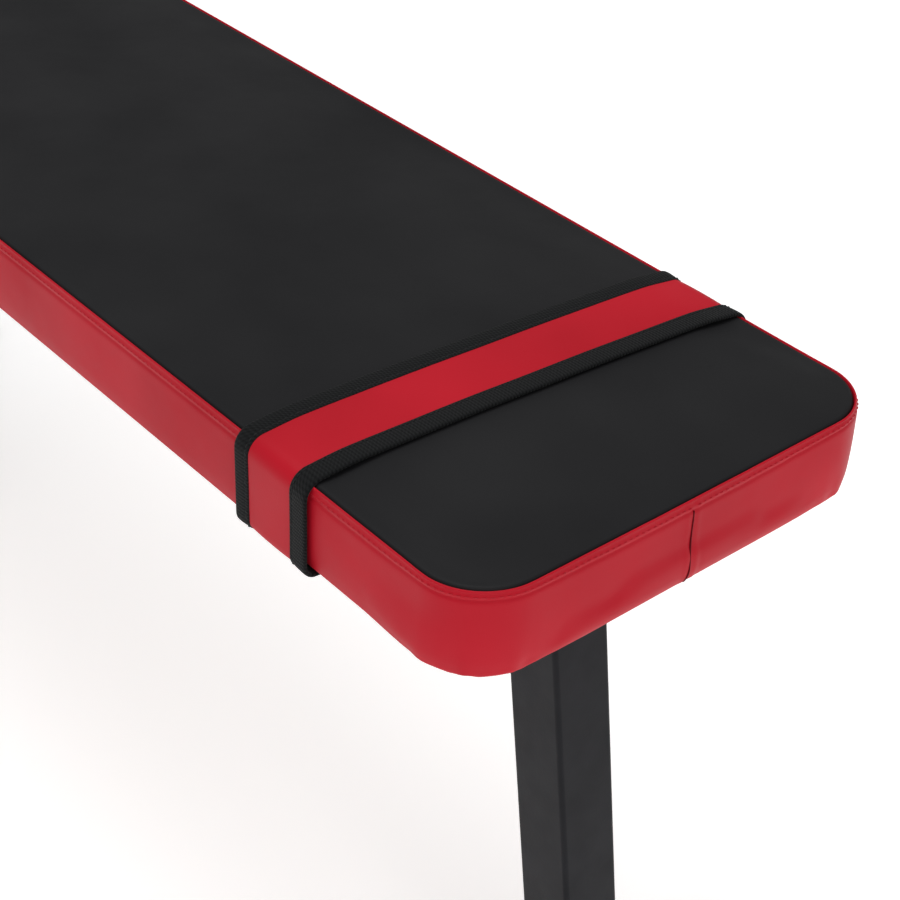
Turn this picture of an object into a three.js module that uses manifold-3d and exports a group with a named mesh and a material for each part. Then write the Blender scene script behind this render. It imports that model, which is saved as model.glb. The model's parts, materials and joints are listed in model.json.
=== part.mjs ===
// Decline sit-up bench, as the separate pieces that it is welded and bolted together from.
// Millimetres, +Z up. +X points to the low head end, -X to the high foot end, and Y runs across the bench.
// The deck (pad, beam and what is fixed to them) slopes, so its pieces are drawn in a deck frame of their
// own: its origin is the middle of the pad's top edge at the head end, +X along the pad, +Z out of the pad.
import * as THREE from "three";
import { mergeVertices } from "three/addons/utils/BufferGeometryUtils.js";
import Module from "manifold-3d";

const wasm = await Module();
wasm.setup();

const radians = THREE.MathUtils.degToRad;

// ---- Driving dimensions ----

const FIT = 0.3; // air between two pieces that touch
const HEAD_HEIGHT = 508; // floor to the pad's top at the head end
const DECK_PITCH = radians(3.07); // slope of the deck, down towards the head end

const PAD = { length: 1080, width: 285, thickness: 54, corner: 38, skin: 1.5, board: 12, hem: 32 };
const BEAM = { side: 40, wall: 2, top: -58.5, head: -70, foot: -1185 };
const BRACKET = { along: 50, across: 210, places: { head: -330, foot: -880 }, screwOffset: 85 };

const LEG = { side: 40, wall: 2, crossesPadBottomAt: -100, lean: radians(8.8) };
const SADDLE = { head: -66, foot: -172, plate: 4, rise: 36, bolts: { front: -104, rear: -150 } };
const REAR_BAR = { side: 40, wall: 2, length: 344, clearance: 5 };
const ROCKER = { radius: 60, width: 48, top: 49, length: 34, endWall: 4 };

const PIVOT = { x: -1055, belowBeam: 24, boltRadius: 5, holeRadius: 5.4 };
const LUG = { plate: 5, topWidth: 76, rise: 34, tipRadius: 18 };

const POST = { outer: 50, inner: 40, wall: 2, top: 340, innerFoot: 65, innerAbovePivot: 16 };
const HEIGHT_HOLES = { pitch: 48, count: 5, radius: 5.3, pinHeight: 285 };
const BASE = { side: 50, wall: 2, clearance: 5, barLength: 400, barBehindPivot: 160, railHead: -965 };
const FOOT = { side: 58, top: 59, length: 32, endWall: 4, corner: 5 };

const ROLLER = { radius: 45, bore: 13.2, length: 175, inset: 30, edge: 7 };
const ROLLER_TUBE = { radius: 12.5, wall: 2, length: 440, holeRadius: 12.9 };
const KNEE = { x: -1138, top: 45, tubeHeight: 20, mastSide: 40 };
const ANKLE = {
  side: 35,
  wall: 2,
  innerEnd: -850,
  elbow: -1272,
  lean: radians(15),
  drop: 222,
  tubeAt: 190,
};
const ANKLE_HOLES = { pitch: 25, count: 5, radius: 5.3, pinAt: -1125 };

const PIN = { radius: 4.8, collar: 7.8, tail: 38, tipGap: 0.4 };
const HOUSING = { radius: 11, chamber: 8.4, bore: 5.3, length: 30, floor: 3, roof: 25 };
const SPRING = { radius: 6.6, wire: 0.9, turns: 4.5, from: 8.2, to: 23.8 };

const SLEEVE = { clearance: 0.5, panel: 2.2, binding: 3, innerCorner: 1, skew: 0.058 };
const SLEEVE_EDGES = { footBinding: -170.5, panelFoot: -159.5, panelHead: -124, headBinding: -111 };

const TUBE_CORNER = 3;
const ROUND_STEPS = 28; // sides of a round tube, pin or roller

// ---- Materials ----

const paint = new THREE.MeshStandardMaterial({ color: 0x323236, roughness: 0.5, metalness: 0.2 });
const zinc = new THREE.MeshStandardMaterial({ color: 0xb4b6b8, roughness: 0.35, metalness: 0.9 });
const chrome = new THREE.MeshStandardMaterial({ color: 0xd8d8da, roughness: 0.12, metalness: 1 });
const plastic = new THREE.MeshStandardMaterial({ color: 0x1c1c1e, roughness: 0.6, metalness: 0 });
const blackVinyl = new THREE.MeshStandardMaterial({ color: 0x28282a, roughness: 0.45, metalness: 0 });
const redVinyl = new THREE.MeshStandardMaterial({ color: 0xb02430, roughness: 0.42, metalness: 0 });
const webbing = new THREE.MeshStandardMaterial({ color: 0x1e2220, roughness: 0.9, metalness: 0 });
const plywood = new THREE.MeshStandardMaterial({ color: 0xc29a66, roughness: 0.7, metalness: 0 });
const cushionFoam = new THREE.MeshStandardMaterial({ color: 0xd9d2b8, roughness: 0.95, metalness: 0 });
const rollerFoam = new THREE.MeshStandardMaterial({ color: 0x242426, roughness: 0.9, metalness: 0 });

// ---- Solids: joining and cutting ----

function toSolid(geometry) {
  const source = geometry.index ? geometry.toNonIndexed() : geometry;
  const bare = new THREE.BufferGeometry();
  bare.setAttribute("position", source.getAttribute("position"));
  const merged = mergeVertices(bare, 1e-4);
  const triVerts = new Uint32Array(merged.index.array);
  return new wasm.Manifold(
    new wasm.Mesh({ numProp: 3, vertProperties: merged.attributes.position.array, triVerts }),
  );
}

function toGeometry(solid) {
  const mesh = solid.getMesh();
  const positions = new Float32Array(mesh.numVert * 3);
  for (let i = 0; i < mesh.numVert; i++) {
    const start = i * mesh.numProp;
    positions.set(mesh.vertProperties.subarray(start, start + 3), i * 3);
  }
  const geometry = new THREE.BufferGeometry();
  geometry.setAttribute("position", new THREE.BufferAttribute(positions, 3));
  geometry.setIndex(new THREE.BufferAttribute(mesh.triVerts, 1));
  return geometry;
}

function join(...geometries) {
  return toGeometry(geometries.map(toSolid).reduce((whole, next) => whole.add(next)));
}

function cut(geometry, ...tools) {
  return toGeometry(tools.map(toSolid).reduce((whole, tool) => whole.subtract(tool), toSolid(geometry)));
}

// ---- Basic shapes ----

// A rectangle with round corners, centred on the origin.
function roundedRect(width, height, radius) {
  const x = width / 2 - radius;
  const y = height / 2 - radius;
  const outline = new THREE.Shape();
  outline.absarc(x, -y, radius, -Math.PI / 2, 0);
  outline.absarc(x, y, radius, 0, Math.PI / 2);
  outline.absarc(-x, y, radius, Math.PI / 2, Math.PI);
  outline.absarc(-x, -y, radius, Math.PI, Math.PI * 1.5);
  outline.closePath();
  return outline;
}

// An outline swept up +Z from z = 0. Each of its arcs becomes twice curveSegments chords.
function sweepUp(outline, depth, curveSegments = 1) {
  return new THREE.ExtrudeGeometry(outline, { depth, bevelEnabled: false, curveSegments });
}

// Turns a geometry's +Z to +X, or to +Y.
const alongX = (geometry) => geometry.rotateY(Math.PI / 2);
const alongY = (geometry) => geometry.rotateX(-Math.PI / 2);

// A block between two corners.
function block(low, high) {
  const size = high.map((value, axis) => value - low[axis]);
  const middle = high.map((value, axis) => (value + low[axis]) / 2);
  return new THREE.BoxGeometry(...size).translate(...middle);
}

// A square steel tube up +Z.
function squareTube(side, wall, length) {
  const outline = roundedRect(side, side, TUBE_CORNER);
  const bore = side - 2 * wall;
  outline.holes.push(roundedRect(bore, bore, TUBE_CORNER - wall));
  return sweepUp(outline, length, 2);
}

// Slopes the ends of a tube that runs up +Z: each end rises by its slope for every step along X.
function mitre(geometry, length, bottomSlope, topSlope) {
  const position = geometry.getAttribute("position");
  for (let i = 0; i < position.count; i++) {
    const x = position.getX(i);
    const z = position.getZ(i);
    const slope = z < length / 2 ? bottomSlope : topSlope;
    position.setZ(i, z + x * slope);
  }
  return geometry;
}

// A round bar up +Z from z = 0.
function roundBar(radius, length, sides = ROUND_STEPS) {
  return new THREE.CylinderGeometry(radius, radius, length, sides)
    .rotateX(Math.PI / 2)
    .translate(0, 0, length / 2);
}

// A profile of [radius, z] points turned round the Z axis. A ring's profile closes on itself.
function turned(profile, ring = false) {
  const points = profile.map(([radius, z]) => new THREE.Vector2(radius, z));
  if (ring) points.push(points[0].clone());
  return new THREE.LatheGeometry(points, ROUND_STEPS).rotateX(Math.PI / 2);
}

// A quarter circle of profile points about (centre radius, centre z).
function quarterRound(centreRadius, centreZ, radius, from, steps = 4) {
  return Array.from({ length: steps + 1 }, (_, i) => {
    const angle = from + (i / steps) * (Math.PI / 2);
    return [centreRadius + radius * Math.cos(angle), centreZ + radius * Math.sin(angle)];
  });
}

// A hexagonal prism up +Z, measured across its flats.
function hexagon(acrossFlats, height) {
  return roundBar(acrossFlats / Math.sqrt(3), height, 6);
}

// A hex bolt: its shank rises +Z from the head's underside at z = 0.
function hexBolt(radius, length, acrossFlats, headHeight) {
  const head = hexagon(acrossFlats, headHeight).translate(0, 0, -headHeight);
  const shank = roundBar(radius, length + headHeight / 2, 20).translate(0, 0, -headHeight / 2);
  return join(head, shank);
}

function hexNut(boreRadius, acrossFlats, height) {
  const bore = roundBar(boreRadius, height + 2, 20).translate(0, 0, -1);
  return cut(hexagon(acrossFlats, height), bore);
}

// A moulded plug that closes a square tube's end: its flange rises +Z from the tube's end at z = 0.
function squarePlug(side, wall) {
  const flange = 3;
  const depth = 12;
  const bore = side - 2 * wall - 2 * FIT;
  const cover = sweepUp(roundedRect(side, side, TUBE_CORNER), flange).translate(0, 0, FIT);
  const stem = sweepUp(roundedRect(bore, bore, TUBE_CORNER - wall), depth + FIT + 1).translate(0, 0, -depth);
  return join(cover, stem);
}

// The domed cap in the end of a roller tube. Its flange keeps the roller on.
function tubeCap() {
  const stem = ROLLER_TUBE.radius - ROLLER_TUBE.wall - FIT;
  return turned([
    [0, -12],
    [stem, -12],
    [stem, FIT],
    [17, FIT],
    [17, 3],
    [14, 5.2],
    [8, 6.4],
    [0, 6.8],
  ]);
}

// A foam roller along +Y, with a running bore and rounded ends.
function foamRoller() {
  const { radius, bore, length, edge } = ROLLER;
  const lowEdge = quarterRound(radius - edge, edge, edge, -Math.PI / 2);
  const highEdge = quarterRound(radius - edge, length - edge, edge, 0);
  return alongY(turned([[bore, 0], ...lowEdge, ...highEdge, [bore, length]], true));
}

function rollerTube() {
  const outline = new THREE.Shape().absarc(0, 0, ROLLER_TUBE.radius, 0, Math.PI * 2);
  const bore = new THREE.Path().absarc(0, 0, ROLLER_TUBE.radius - ROLLER_TUBE.wall, 0, Math.PI * 2);
  outline.holes.push(bore);
  const tube = sweepUp(outline, ROLLER_TUBE.length, ROUND_STEPS / 2);
  return alongY(tube.translate(0, 0, -ROLLER_TUBE.length / 2));
}

// A shoe over the end of a square tube that lies along +Y: open at y = 0, closed at its far end.
function shoe(outline, length, endWall, tubeSide, tubeBottom) {
  const outside = alongY(sweepUp(outline, length, 3));
  const half = tubeSide / 2 + FIT;
  const pocket = block(
    [-half, -1, tubeBottom - FIT],
    [half, length - endWall, tubeBottom + tubeSide + FIT],
  );
  return cut(outside, pocket);
}

// ---- Scene graph ----

const bench = new THREE.Group();
const upright = new THREE.Group(); // pieces drawn square to the floor, X = 0 at the pad's head end
const deck = new THREE.Group(); // pieces drawn along the pad
deck.position.z = HEAD_HEIGHT;
deck.rotation.y = DECK_PITCH;
bench.add(upright);
upright.add(deck);
deck.updateMatrixWorld(true);

function piece(parent, name, geometry, material, position = [0, 0, 0]) {
  const mesh = new THREE.Mesh(geometry, material);
  mesh.name = name;
  mesh.position.set(...position);
  parent.add(mesh);
  return mesh;
}

const beamBottom = BEAM.top - BEAM.side;
const beamMiddle = BEAM.top - BEAM.side / 2;
const pivotDeckZ = beamBottom - PIVOT.belowBeam;
const pivotPoint = deck.localToWorld(new THREE.Vector3(PIVOT.x, 0, pivotDeckZ));
const sides = { left: 1, right: -1 };

// ---- Pad ----

function padOutline(inset) {
  return roundedRect(PAD.length - 2 * inset, PAD.width - 2 * inset, PAD.corner - inset);
}

function padLayer(inset, bottom, top) {
  return sweepUp(padOutline(inset), top - bottom, 4).translate(-PAD.length / 2, 0, bottom);
}

// The vinyl wall round the cushion, with the hem that is turned under the board and stapled.
function sideBand() {
  const top = -PAD.skin - FIT;
  const hemTop = -PAD.thickness + 1.2;
  const wall = cut(padLayer(0, -PAD.thickness, top), padLayer(PAD.skin, hemTop, top + 1));
  return cut(wall, padLayer(PAD.hem, -PAD.thickness - 1, hemTop + 1));
}

const boardBottom = -PAD.thickness + 1.2 + FIT;
const boardTop = boardBottom + PAD.board;
const screwRadius = 4;

function screwPlaces() {
  return Object.entries(BRACKET.places).flatMap(([end, x]) =>
    Object.entries(sides).map(([side, sign]) => ({ name: end + "_" + side, x, y: sign * BRACKET.screwOffset })),
  );
}

function drillForScrews(geometry, radius, bottom, top) {
  const drills = screwPlaces().map(({ x, y }) =>
    roundBar(radius, top - bottom + 2, 20).translate(x, y, bottom - 1),
  );
  return cut(geometry, ...drills);
}

function addPad() {
  const inside = PAD.skin + FIT;
  const board = padLayer(inside, boardBottom, boardTop);
  piece(deck, "pad_top_panel", padLayer(0, -PAD.skin, 0), blackVinyl);
  piece(deck, "pad_side_band", sideBand(), redVinyl);
  piece(deck, "pad_foam", padLayer(inside, boardTop + FIT, -inside), cushionFoam);
  piece(deck, "pad_board", drillForScrews(board, screwRadius + FIT, boardBottom, boardTop), plywood);
}

function addPadBrackets() {
  const bottom = BEAM.top + FIT;
  const top = boardBottom - FIT;
  const half = BRACKET.across / 2;
  for (const [end, x] of Object.entries(BRACKET.places)) {
    const bar = block([x - BRACKET.along / 2, -half, bottom], [x + BRACKET.along / 2, half, top]);
    piece(deck, "pad_bracket_" + end, drillForScrews(bar, screwRadius + 0.5, bottom, top), paint);
  }
  for (const { name, x, y } of screwPlaces()) {
    const screw = hexBolt(screwRadius, boardTop - bottom - 1, 13, 5.3);
    piece(deck, "pad_screw_" + name, screw, zinc, [x, y, bottom - FIT]);
  }
}

// ---- Sleeve round the pad ----

/** A band round the pad. The loose sleeve has turned on the pad, so its far side lies nearer the head end. */
function sleeveRing(thickness, from, to) {
  const high = PAD.thickness + 2 * SLEEVE.clearance;
  const across = PAD.width + 2 * SLEEVE.clearance;
  const outline = roundedRect(high + 2 * thickness, across + 2 * thickness, SLEEVE.innerCorner + thickness);
  outline.holes.push(roundedRect(high, across, SLEEVE.innerCorner));
  const turned = new THREE.Matrix4().makeShear(0, 0, SLEEVE.skew, 0, 0, 0);
  return alongX(sweepUp(outline, to - from, 2)).translate(from, 0, -PAD.thickness / 2).applyMatrix4(turned);
}

function addSleeve() {
  const { footBinding, panelFoot, panelHead, headBinding } = SLEEVE_EDGES;
  const panel = sleeveRing(SLEEVE.panel, panelFoot + FIT, panelHead - FIT);
  piece(deck, "sleeve_panel", panel, redVinyl);
  piece(deck, "sleeve_binding_foot", sleeveRing(SLEEVE.binding, footBinding, panelFoot), webbing);
  piece(deck, "sleeve_binding_head", sleeveRing(SLEEVE.binding, panelHead, headBinding), webbing);
}

// ---- Beam, rear leg and pivot ----

// A drill along Y through both walls, at a place on the deck.
function drillAcross(x, z, radius) {
  return alongY(roundBar(radius, 200, 20).translate(0, 0, -100)).translate(x, 0, z);
}

function addBeam() {
  const length = BEAM.head - BEAM.foot;
  const tube = alongX(squareTube(BEAM.side, BEAM.wall, length)).translate(BEAM.foot, 0, beamMiddle);
  const boltHoles = Object.values(SADDLE.bolts).map((x) => drillAcross(x, beamMiddle, 4.4));
  const pinHole = alongY(roundBar(ANKLE_HOLES.radius, BEAM.side, 20).translate(0, 0, -BEAM.side))
    .translate(ANKLE_HOLES.pinAt, 0, beamMiddle);
  piece(deck, "main_beam", cut(tube, ...boltHoles, pinHole), paint);

  const plug = alongX(squarePlug(BEAM.side, BEAM.wall));
  piece(deck, "beam_head_cap", plug, plastic, [BEAM.head, 0, beamMiddle]);
}

// The moulded collar on the beam's foot end, which guides the ankle arm.
function addBeamCollar() {
  const skirt = 20;
  const lip = 5;
  const outer = BEAM.side + 6;
  const over = BEAM.side / 2 + FIT;
  const bore = ANKLE.side / 2 + 0.35;
  const body = alongX(sweepUp(roundedRect(outer, outer, TUBE_CORNER + 2), skirt + lip)).translate(-lip, 0, 0);
  const socket = block([FIT * -1, -over, -over], [skirt + 1, over, over]);
  const window = block([-lip - 1, -bore, -bore], [skirt, bore, bore]);
  piece(deck, "beam_collar", cut(body, socket, window), plastic, [BEAM.foot, 0, beamMiddle]);
}

// The U-shaped saddle on the leg's top, bolted through the beam.
function addSaddle() {
  const half = BEAM.side / 2 + FIT;
  const outside = half + SADDLE.plate;
  const floor = beamBottom - FIT;
  const body = block([SADDLE.foot, -outside, floor - SADDLE.plate], [SADDLE.head, outside, floor + SADDLE.rise]);
  const channel = block([SADDLE.foot - 1, -half, floor], [SADDLE.head + 1, half, floor + SADDLE.rise + 1]);
  const holes = Object.values(SADDLE.bolts).map((x) => drillAcross(x, beamMiddle, 4.4));
  piece(deck, "leg_saddle", cut(body, channel, ...holes), paint);

  for (const [end, x] of Object.entries(SADDLE.bolts)) {
    const bolt = alongY(hexBolt(4, 2 * outside + 10, 13, 5.3));
    const nut = alongY(hexNut(4.2, 13, 6.5));
    piece(deck, "leg_bolt_" + end, bolt, zinc, [x, -outside - FIT, beamMiddle]);
    piece(deck, "leg_nut_" + end, nut, zinc, [x, outside + FIT, beamMiddle]);
  }
}

// The leg runs from the saddle to the rear crossbar's top. Each end is cut to lie flat on its neighbour.
function addRearLeg() {
  const topZ = beamBottom - 2 * FIT - SADDLE.plate;
  const topX = LEG.crossesPadBottomAt - (PAD.thickness + topZ) * Math.tan(LEG.lean);
  const topPoint = deck.localToWorld(new THREE.Vector3(topX, 0, topZ));
  const worldLean = LEG.lean - DECK_PITCH;
  const barTop = REAR_BAR.clearance + REAR_BAR.side;
  const length = (topPoint.z - barTop - FIT) / Math.cos(worldLean);
  const leg = mitre(squareTube(LEG.side, LEG.wall, length), length, Math.tan(worldLean) * -1, Math.tan(LEG.lean) * -1);
  const mesh = piece(deck, "rear_leg", leg.translate(0, 0, -length), paint, [topX, 0, topZ]);
  mesh.rotation.y = -LEG.lean;

  const barX = topPoint.x + Math.tan(worldLean) * (topPoint.z - barTop + REAR_BAR.side / 2);
  addRearBar(barX);
}

function addRearBar(barX) {
  const { side, wall, length, clearance } = REAR_BAR;
  const bar = alongY(squareTube(side, wall, length).translate(0, 0, -length / 2));
  piece(upright, "rear_crossbar", bar, paint, [barX, 0, clearance + side / 2]);

  const { radius, width, top, length: shoeLength, endWall } = ROCKER;
  const reach = Math.asin(width / 2 / radius);
  const outline = new THREE.Shape();
  // Drawn with y down the page, because alongY() turns the outline's +y to -z.
  outline.absarc(0, -radius, radius, Math.PI / 2 - reach, Math.PI / 2 + reach);
  outline.absarc(-width / 2 + 5, -top + 5, 5, Math.PI, Math.PI * 1.5);
  outline.absarc(width / 2 - 5, -top + 5, 5, -Math.PI / 2, 0);
  outline.closePath();
  for (const [name, sign] of Object.entries(sides)) {
    const rocker = shoe(outline, shoeLength, endWall, side, clearance);
    const mesh = piece(upright, "rear_foot_" + name, rocker, plastic, [barX, 0, 0]);
    mesh.position.y = sign * (length / 2 + endWall + FIT - shoeLength);
    if (sign < 0) mesh.rotation.z = Math.PI;
  }
}

// Two plates on the beam's sides that hang down round the inner post's head.
function addPivot() {
  const { plate, topWidth, rise, tipRadius } = LUG;
  const lugTop = beamBottom + rise - pivotDeckZ;
  const outline = new THREE.Shape();
  outline.moveTo(topWidth / 2, lugTop);
  outline.lineTo(-topWidth / 2, lugTop);
  outline.lineTo(-topWidth / 2, PIVOT.belowBeam);
  outline.absarc(0, 0, tipRadius, Math.PI, Math.PI * 2);
  outline.lineTo(topWidth / 2, PIVOT.belowBeam);
  outline.closePath();
  outline.holes.push(new THREE.Path().absarc(0, 0, PIVOT.holeRadius, 0, Math.PI * 2));
  const inside = BEAM.side / 2 + 0.4;
  for (const [name, sign] of Object.entries(sides)) {
    const lug = sweepUp(outline, plate, 7).rotateX(Math.PI / 2);
    const nearFace = sign > 0 ? inside + plate : -inside;
    piece(deck, "pivot_lug_" + name, lug, paint, [PIVOT.x, nearFace, pivotDeckZ]);
  }
  const outside = inside + plate + FIT;
  const bolt = alongY(hexBolt(PIVOT.boltRadius, 2 * outside + 12, 17, 6.4));
  const nut = alongY(hexNut(PIVOT.boltRadius + 0.2, 17, 8));
  piece(deck, "pivot_bolt", bolt, zinc, [PIVOT.x, -outside, pivotDeckZ]);
  piece(deck, "pivot_nut", nut, zinc, [PIVOT.x, outside, pivotDeckZ]);
}

// ---- Spring pins ----

// A spring pin in a frame of its own: z = 0 on the tube's face that it is welded to, +Z the way it is pulled.
function addSpringPin(name, parent, tipDepth) {
  const { radius, collar, tail } = PIN;
  const { floor, roof } = HOUSING;
  const barrel = turned(
    [
      [HOUSING.bore, FIT],
      [HOUSING.radius, FIT],
      [HOUSING.radius, HOUSING.length],
      [HOUSING.bore, HOUSING.length],
      [HOUSING.bore, roof],
      [HOUSING.chamber, roof],
      [HOUSING.chamber, floor],
      [HOUSING.bore, floor],
    ],
    true,
  );
  const plunger = turned([
    [0, -tipDepth],
    [radius - 0.8, -tipDepth],
    [radius, -tipDepth + 0.8],
    [radius, floor + 1],
    [collar, floor + 1],
    [collar, floor + 4],
    [radius, floor + 4],
    [radius, tail],
    [0, tail],
  ]);
  const knob = turned([
    [0, tail + FIT],
    [radius + FIT, tail + FIT],
    [radius + FIT, HOUSING.length + 2.5],
    [11, HOUSING.length + 2.5],
    [14, HOUSING.length + 7],
    ...quarterRound(9, HOUSING.length + 23, 5, 0),
    [0, HOUSING.length + 29],
  ]);
  piece(parent, name + "_housing", barrel, paint);
  piece(parent, name, plunger, chrome);
  piece(parent, name + "_knob", knob, plastic);
  piece(parent, name + "_spring", coilSpring(), zinc);
}

function coilSpring() {
  const steps = SPRING.turns * 12;
  const centres = Array.from({ length: steps + 1 }, (_, i) => {
    const angle = (i / steps) * SPRING.turns * Math.PI * 2;
    const z = SPRING.from + (i / steps) * (SPRING.to - SPRING.from);
    return new THREE.Vector3(SPRING.radius * Math.cos(angle), SPRING.radius * Math.sin(angle), z);
  });
  const wire = new THREE.Shape().absarc(0, 0, SPRING.wire, 0, Math.PI * 2);
  const extrudePath = new THREE.CatmullRomCurve3(centres);
  return new THREE.ExtrudeGeometry(wire, { steps, extrudePath, curveSegments: 3 });
}

// ---- Front base and height post ----

function addFrontBase() {
  const { side, wall, clearance, barLength, barBehindPivot, railHead } = BASE;
  const middle = clearance + side / 2;
  const barX = pivotPoint.x - barBehindPivot;
  const bar = alongY(squareTube(side, wall, barLength).translate(0, 0, -barLength / 2));
  piece(upright, "base_crossbar", bar, paint, [barX, 0, middle]);

  const railFoot = barX + side / 2 + FIT;
  const rail = alongX(squareTube(side, wall, railHead - railFoot));
  piece(upright, "base_rail", rail, paint, [railFoot, 0, middle]);

  const footOutline = roundedRect(FOOT.side, FOOT.top, FOOT.corner);
  const centred = (outline) => shoe(outline, FOOT.length, FOOT.endWall, side, clearance - FOOT.top / 2);
  const past = FOOT.endWall + FIT - FOOT.length;
  for (const [name, sign] of Object.entries(sides)) {
    const foot = piece(upright, "base_foot_" + name, centred(footOutline), plastic, [barX, 0, FOOT.top / 2]);
    foot.position.y = sign * (barLength / 2 + past);
    if (sign < 0) foot.rotation.z = Math.PI;
  }
  const railShoe = piece(upright, "base_rail_foot", centred(footOutline), plastic);
  railShoe.position.set(railHead + past, 0, FOOT.top / 2);
  railShoe.rotation.z = -Math.PI / 2;
}

function addOuterPost() {
  const bottom = BASE.clearance + BASE.side + FIT;
  const tube = squareTube(POST.outer, POST.wall, POST.top - bottom);
  const hole = alongX(roundBar(HEIGHT_HOLES.radius, POST.outer, 20).translate(0, 0, -POST.outer))
    .translate(0, 0, HEIGHT_HOLES.pinHeight - bottom);
  piece(upright, "outer_post", cut(tube, hole), paint, [pivotPoint.x, 0, bottom]);

  const sleeveDepth = 34;
  const liner = POST.outer - 2 * POST.wall - 2 * FIT;
  const bore = POST.inner + 0.7;
  const flange = sweepUp(roundedRect(POST.outer + 4, POST.outer + 4, TUBE_CORNER + 1), 4);
  const lining = sweepUp(roundedRect(liner, liner, TUBE_CORNER - POST.wall), sleeveDepth + 1);
  const window = sweepUp(roundedRect(bore, bore, TUBE_CORNER), sleeveDepth + 10);
  const bushing = cut(
    join(flange, lining.translate(0, 0, -sleeveDepth)),
    window.translate(0, 0, -sleeveDepth - 2),
  );
  piece(upright, "post_bushing", bushing, plastic, [pivotPoint.x, 0, POST.top + FIT]);
}

// The inner post rides in the outer one. Its row of holes takes the height pin.
function addInnerPost() {
  const top = pivotPoint.z + POST.innerAbovePivot;
  const tube = squareTube(POST.inner, POST.wall, top - POST.innerFoot).translate(0, 0, POST.innerFoot);
  const holes = Array.from({ length: HEIGHT_HOLES.count }, (_, i) =>
    alongX(roundBar(HEIGHT_HOLES.radius, POST.inner, 20).translate(0, 0, -POST.inner))
      .translate(0, 0, HEIGHT_HOLES.pinHeight - i * HEIGHT_HOLES.pitch),
  );
  const pivotHole = drillAcross(0, pivotPoint.z, PIVOT.holeRadius);
  piece(upright, "inner_post", cut(tube, ...holes, pivotHole), paint, [pivotPoint.x, 0, 0]);
}

function addHeightPin() {
  const frame = new THREE.Group();
  frame.position.set(pivotPoint.x - POST.outer / 2, 0, HEIGHT_HOLES.pinHeight);
  frame.rotation.y = -Math.PI / 2;
  upright.add(frame);
  addSpringPin("height_pin", frame, (POST.outer - POST.inner) / 2 - PIN.tipGap);
}

// ---- Knee and ankle rollers ----

// A cross tube with its end caps and a roller on each side, about an axis along Y.
function addRollerPair(name, parent, position) {
  const frame = new THREE.Group();
  frame.position.set(...position);
  parent.add(frame);
  piece(frame, name + "_roller_tube", rollerTube(), paint);
  for (const [side, sign] of Object.entries(sides)) {
    const cap = piece(frame, name + "_tube_cap_" + side, alongY(tubeCap()), plastic);
    cap.position.y = (sign * ROLLER_TUBE.length) / 2;
    const roller = piece(frame, name + "_roller_" + side, foamRoller(), rollerFoam);
    roller.position.y = sign * ROLLER.inset;
    if (sign < 0) {
      cap.rotation.z = Math.PI;
      roller.rotation.z = Math.PI;
    }
  }
}

function addKneeMast() {
  const bottom = BEAM.top + FIT;
  const tube = squareTube(KNEE.mastSide, BEAM.wall, KNEE.top - bottom);
  const hole = drillAcross(0, KNEE.tubeHeight - bottom, ROLLER_TUBE.holeRadius);
  piece(deck, "knee_mast", cut(tube, hole), paint, [KNEE.x, 0, bottom]);
  piece(deck, "knee_mast_cap", squarePlug(KNEE.mastSide, BEAM.wall), plastic, [KNEE.x, 0, KNEE.top]);
  addRollerPair("knee", deck, [KNEE.x, 0, KNEE.tubeHeight]);
}

// The ankle arm slides in the beam. Its outer end is mitred to a drop tube that carries the ankle rollers.
function addAnkleArm() {
  const { side, wall, innerEnd, elbow, lean, drop, tubeAt } = ANKLE;
  const turn = (Math.PI / 2 - lean) / 2;
  const halfGap = FIT / 2 / Math.cos(turn);
  const armLength = innerEnd - elbow - halfGap;
  const arm = mitre(squareTube(side, wall, armLength), armLength, 0, Math.tan(turn));
  // The tube's +Z becomes -X and its +X becomes +Z, so the mitre is longest along the top.
  arm.rotateY(-Math.PI / 2);
  const pinHoles = Array.from({ length: ANKLE_HOLES.count }, (_, i) =>
    alongY(roundBar(ANKLE_HOLES.radius, side, 20).translate(0, 0, -side))
      .translate(ANKLE_HOLES.pinAt + i * ANKLE_HOLES.pitch - innerEnd, 0, 0),
  );
  piece(deck, "ankle_arm_tube", cut(arm, ...pinHoles), paint, [innerEnd, 0, beamMiddle]);

  const dropFrame = new THREE.Group();
  dropFrame.position.set(elbow, 0, beamMiddle);
  dropFrame.rotation.y = lean;
  deck.add(dropFrame);
  const dropLength = drop - halfGap;
  const tube = mitre(squareTube(side, wall, dropLength), dropLength, 0, -Math.tan(turn));
  tube.translate(0, 0, -drop);
  const hole = drillAcross(0, -tubeAt, ROLLER_TUBE.holeRadius);
  piece(dropFrame, "ankle_drop_tube", cut(tube, hole), paint);
  const plug = squarePlug(side, wall).rotateX(Math.PI);
  piece(dropFrame, "ankle_drop_cap", plug, plastic, [0, 0, -drop]);
  addRollerPair("ankle", dropFrame, [0, 0, -tubeAt]);
}

function addAnklePin() {
  const frame = new THREE.Group();
  frame.position.set(ANKLE_HOLES.pinAt, -BEAM.side / 2, beamMiddle);
  frame.rotation.x = Math.PI / 2;
  deck.add(frame);
  addSpringPin("ankle_pin", frame, (BEAM.side - ANKLE.side) / 2 - PIN.tipGap);
}

// ---- Assembly ----

addPad();
addPadBrackets();
addSleeve();
addBeam();
addBeamCollar();
addSaddle();
addRearLeg();
addPivot();
addFrontBase();
addOuterPost();
addInnerPost();
addHeightPin();
addKneeMast();
addAnkleArm();
addAnklePin();

// The origin is the middle of the bench's footprint, on the floor.
bench.updateMatrixWorld(true);
const extent = new THREE.Box3().setFromObject(bench, true);
upright.position.set(-(extent.min.x + extent.max.x) / 2, -(extent.min.y + extent.max.y) / 2, 0);

export default bench;
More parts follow.
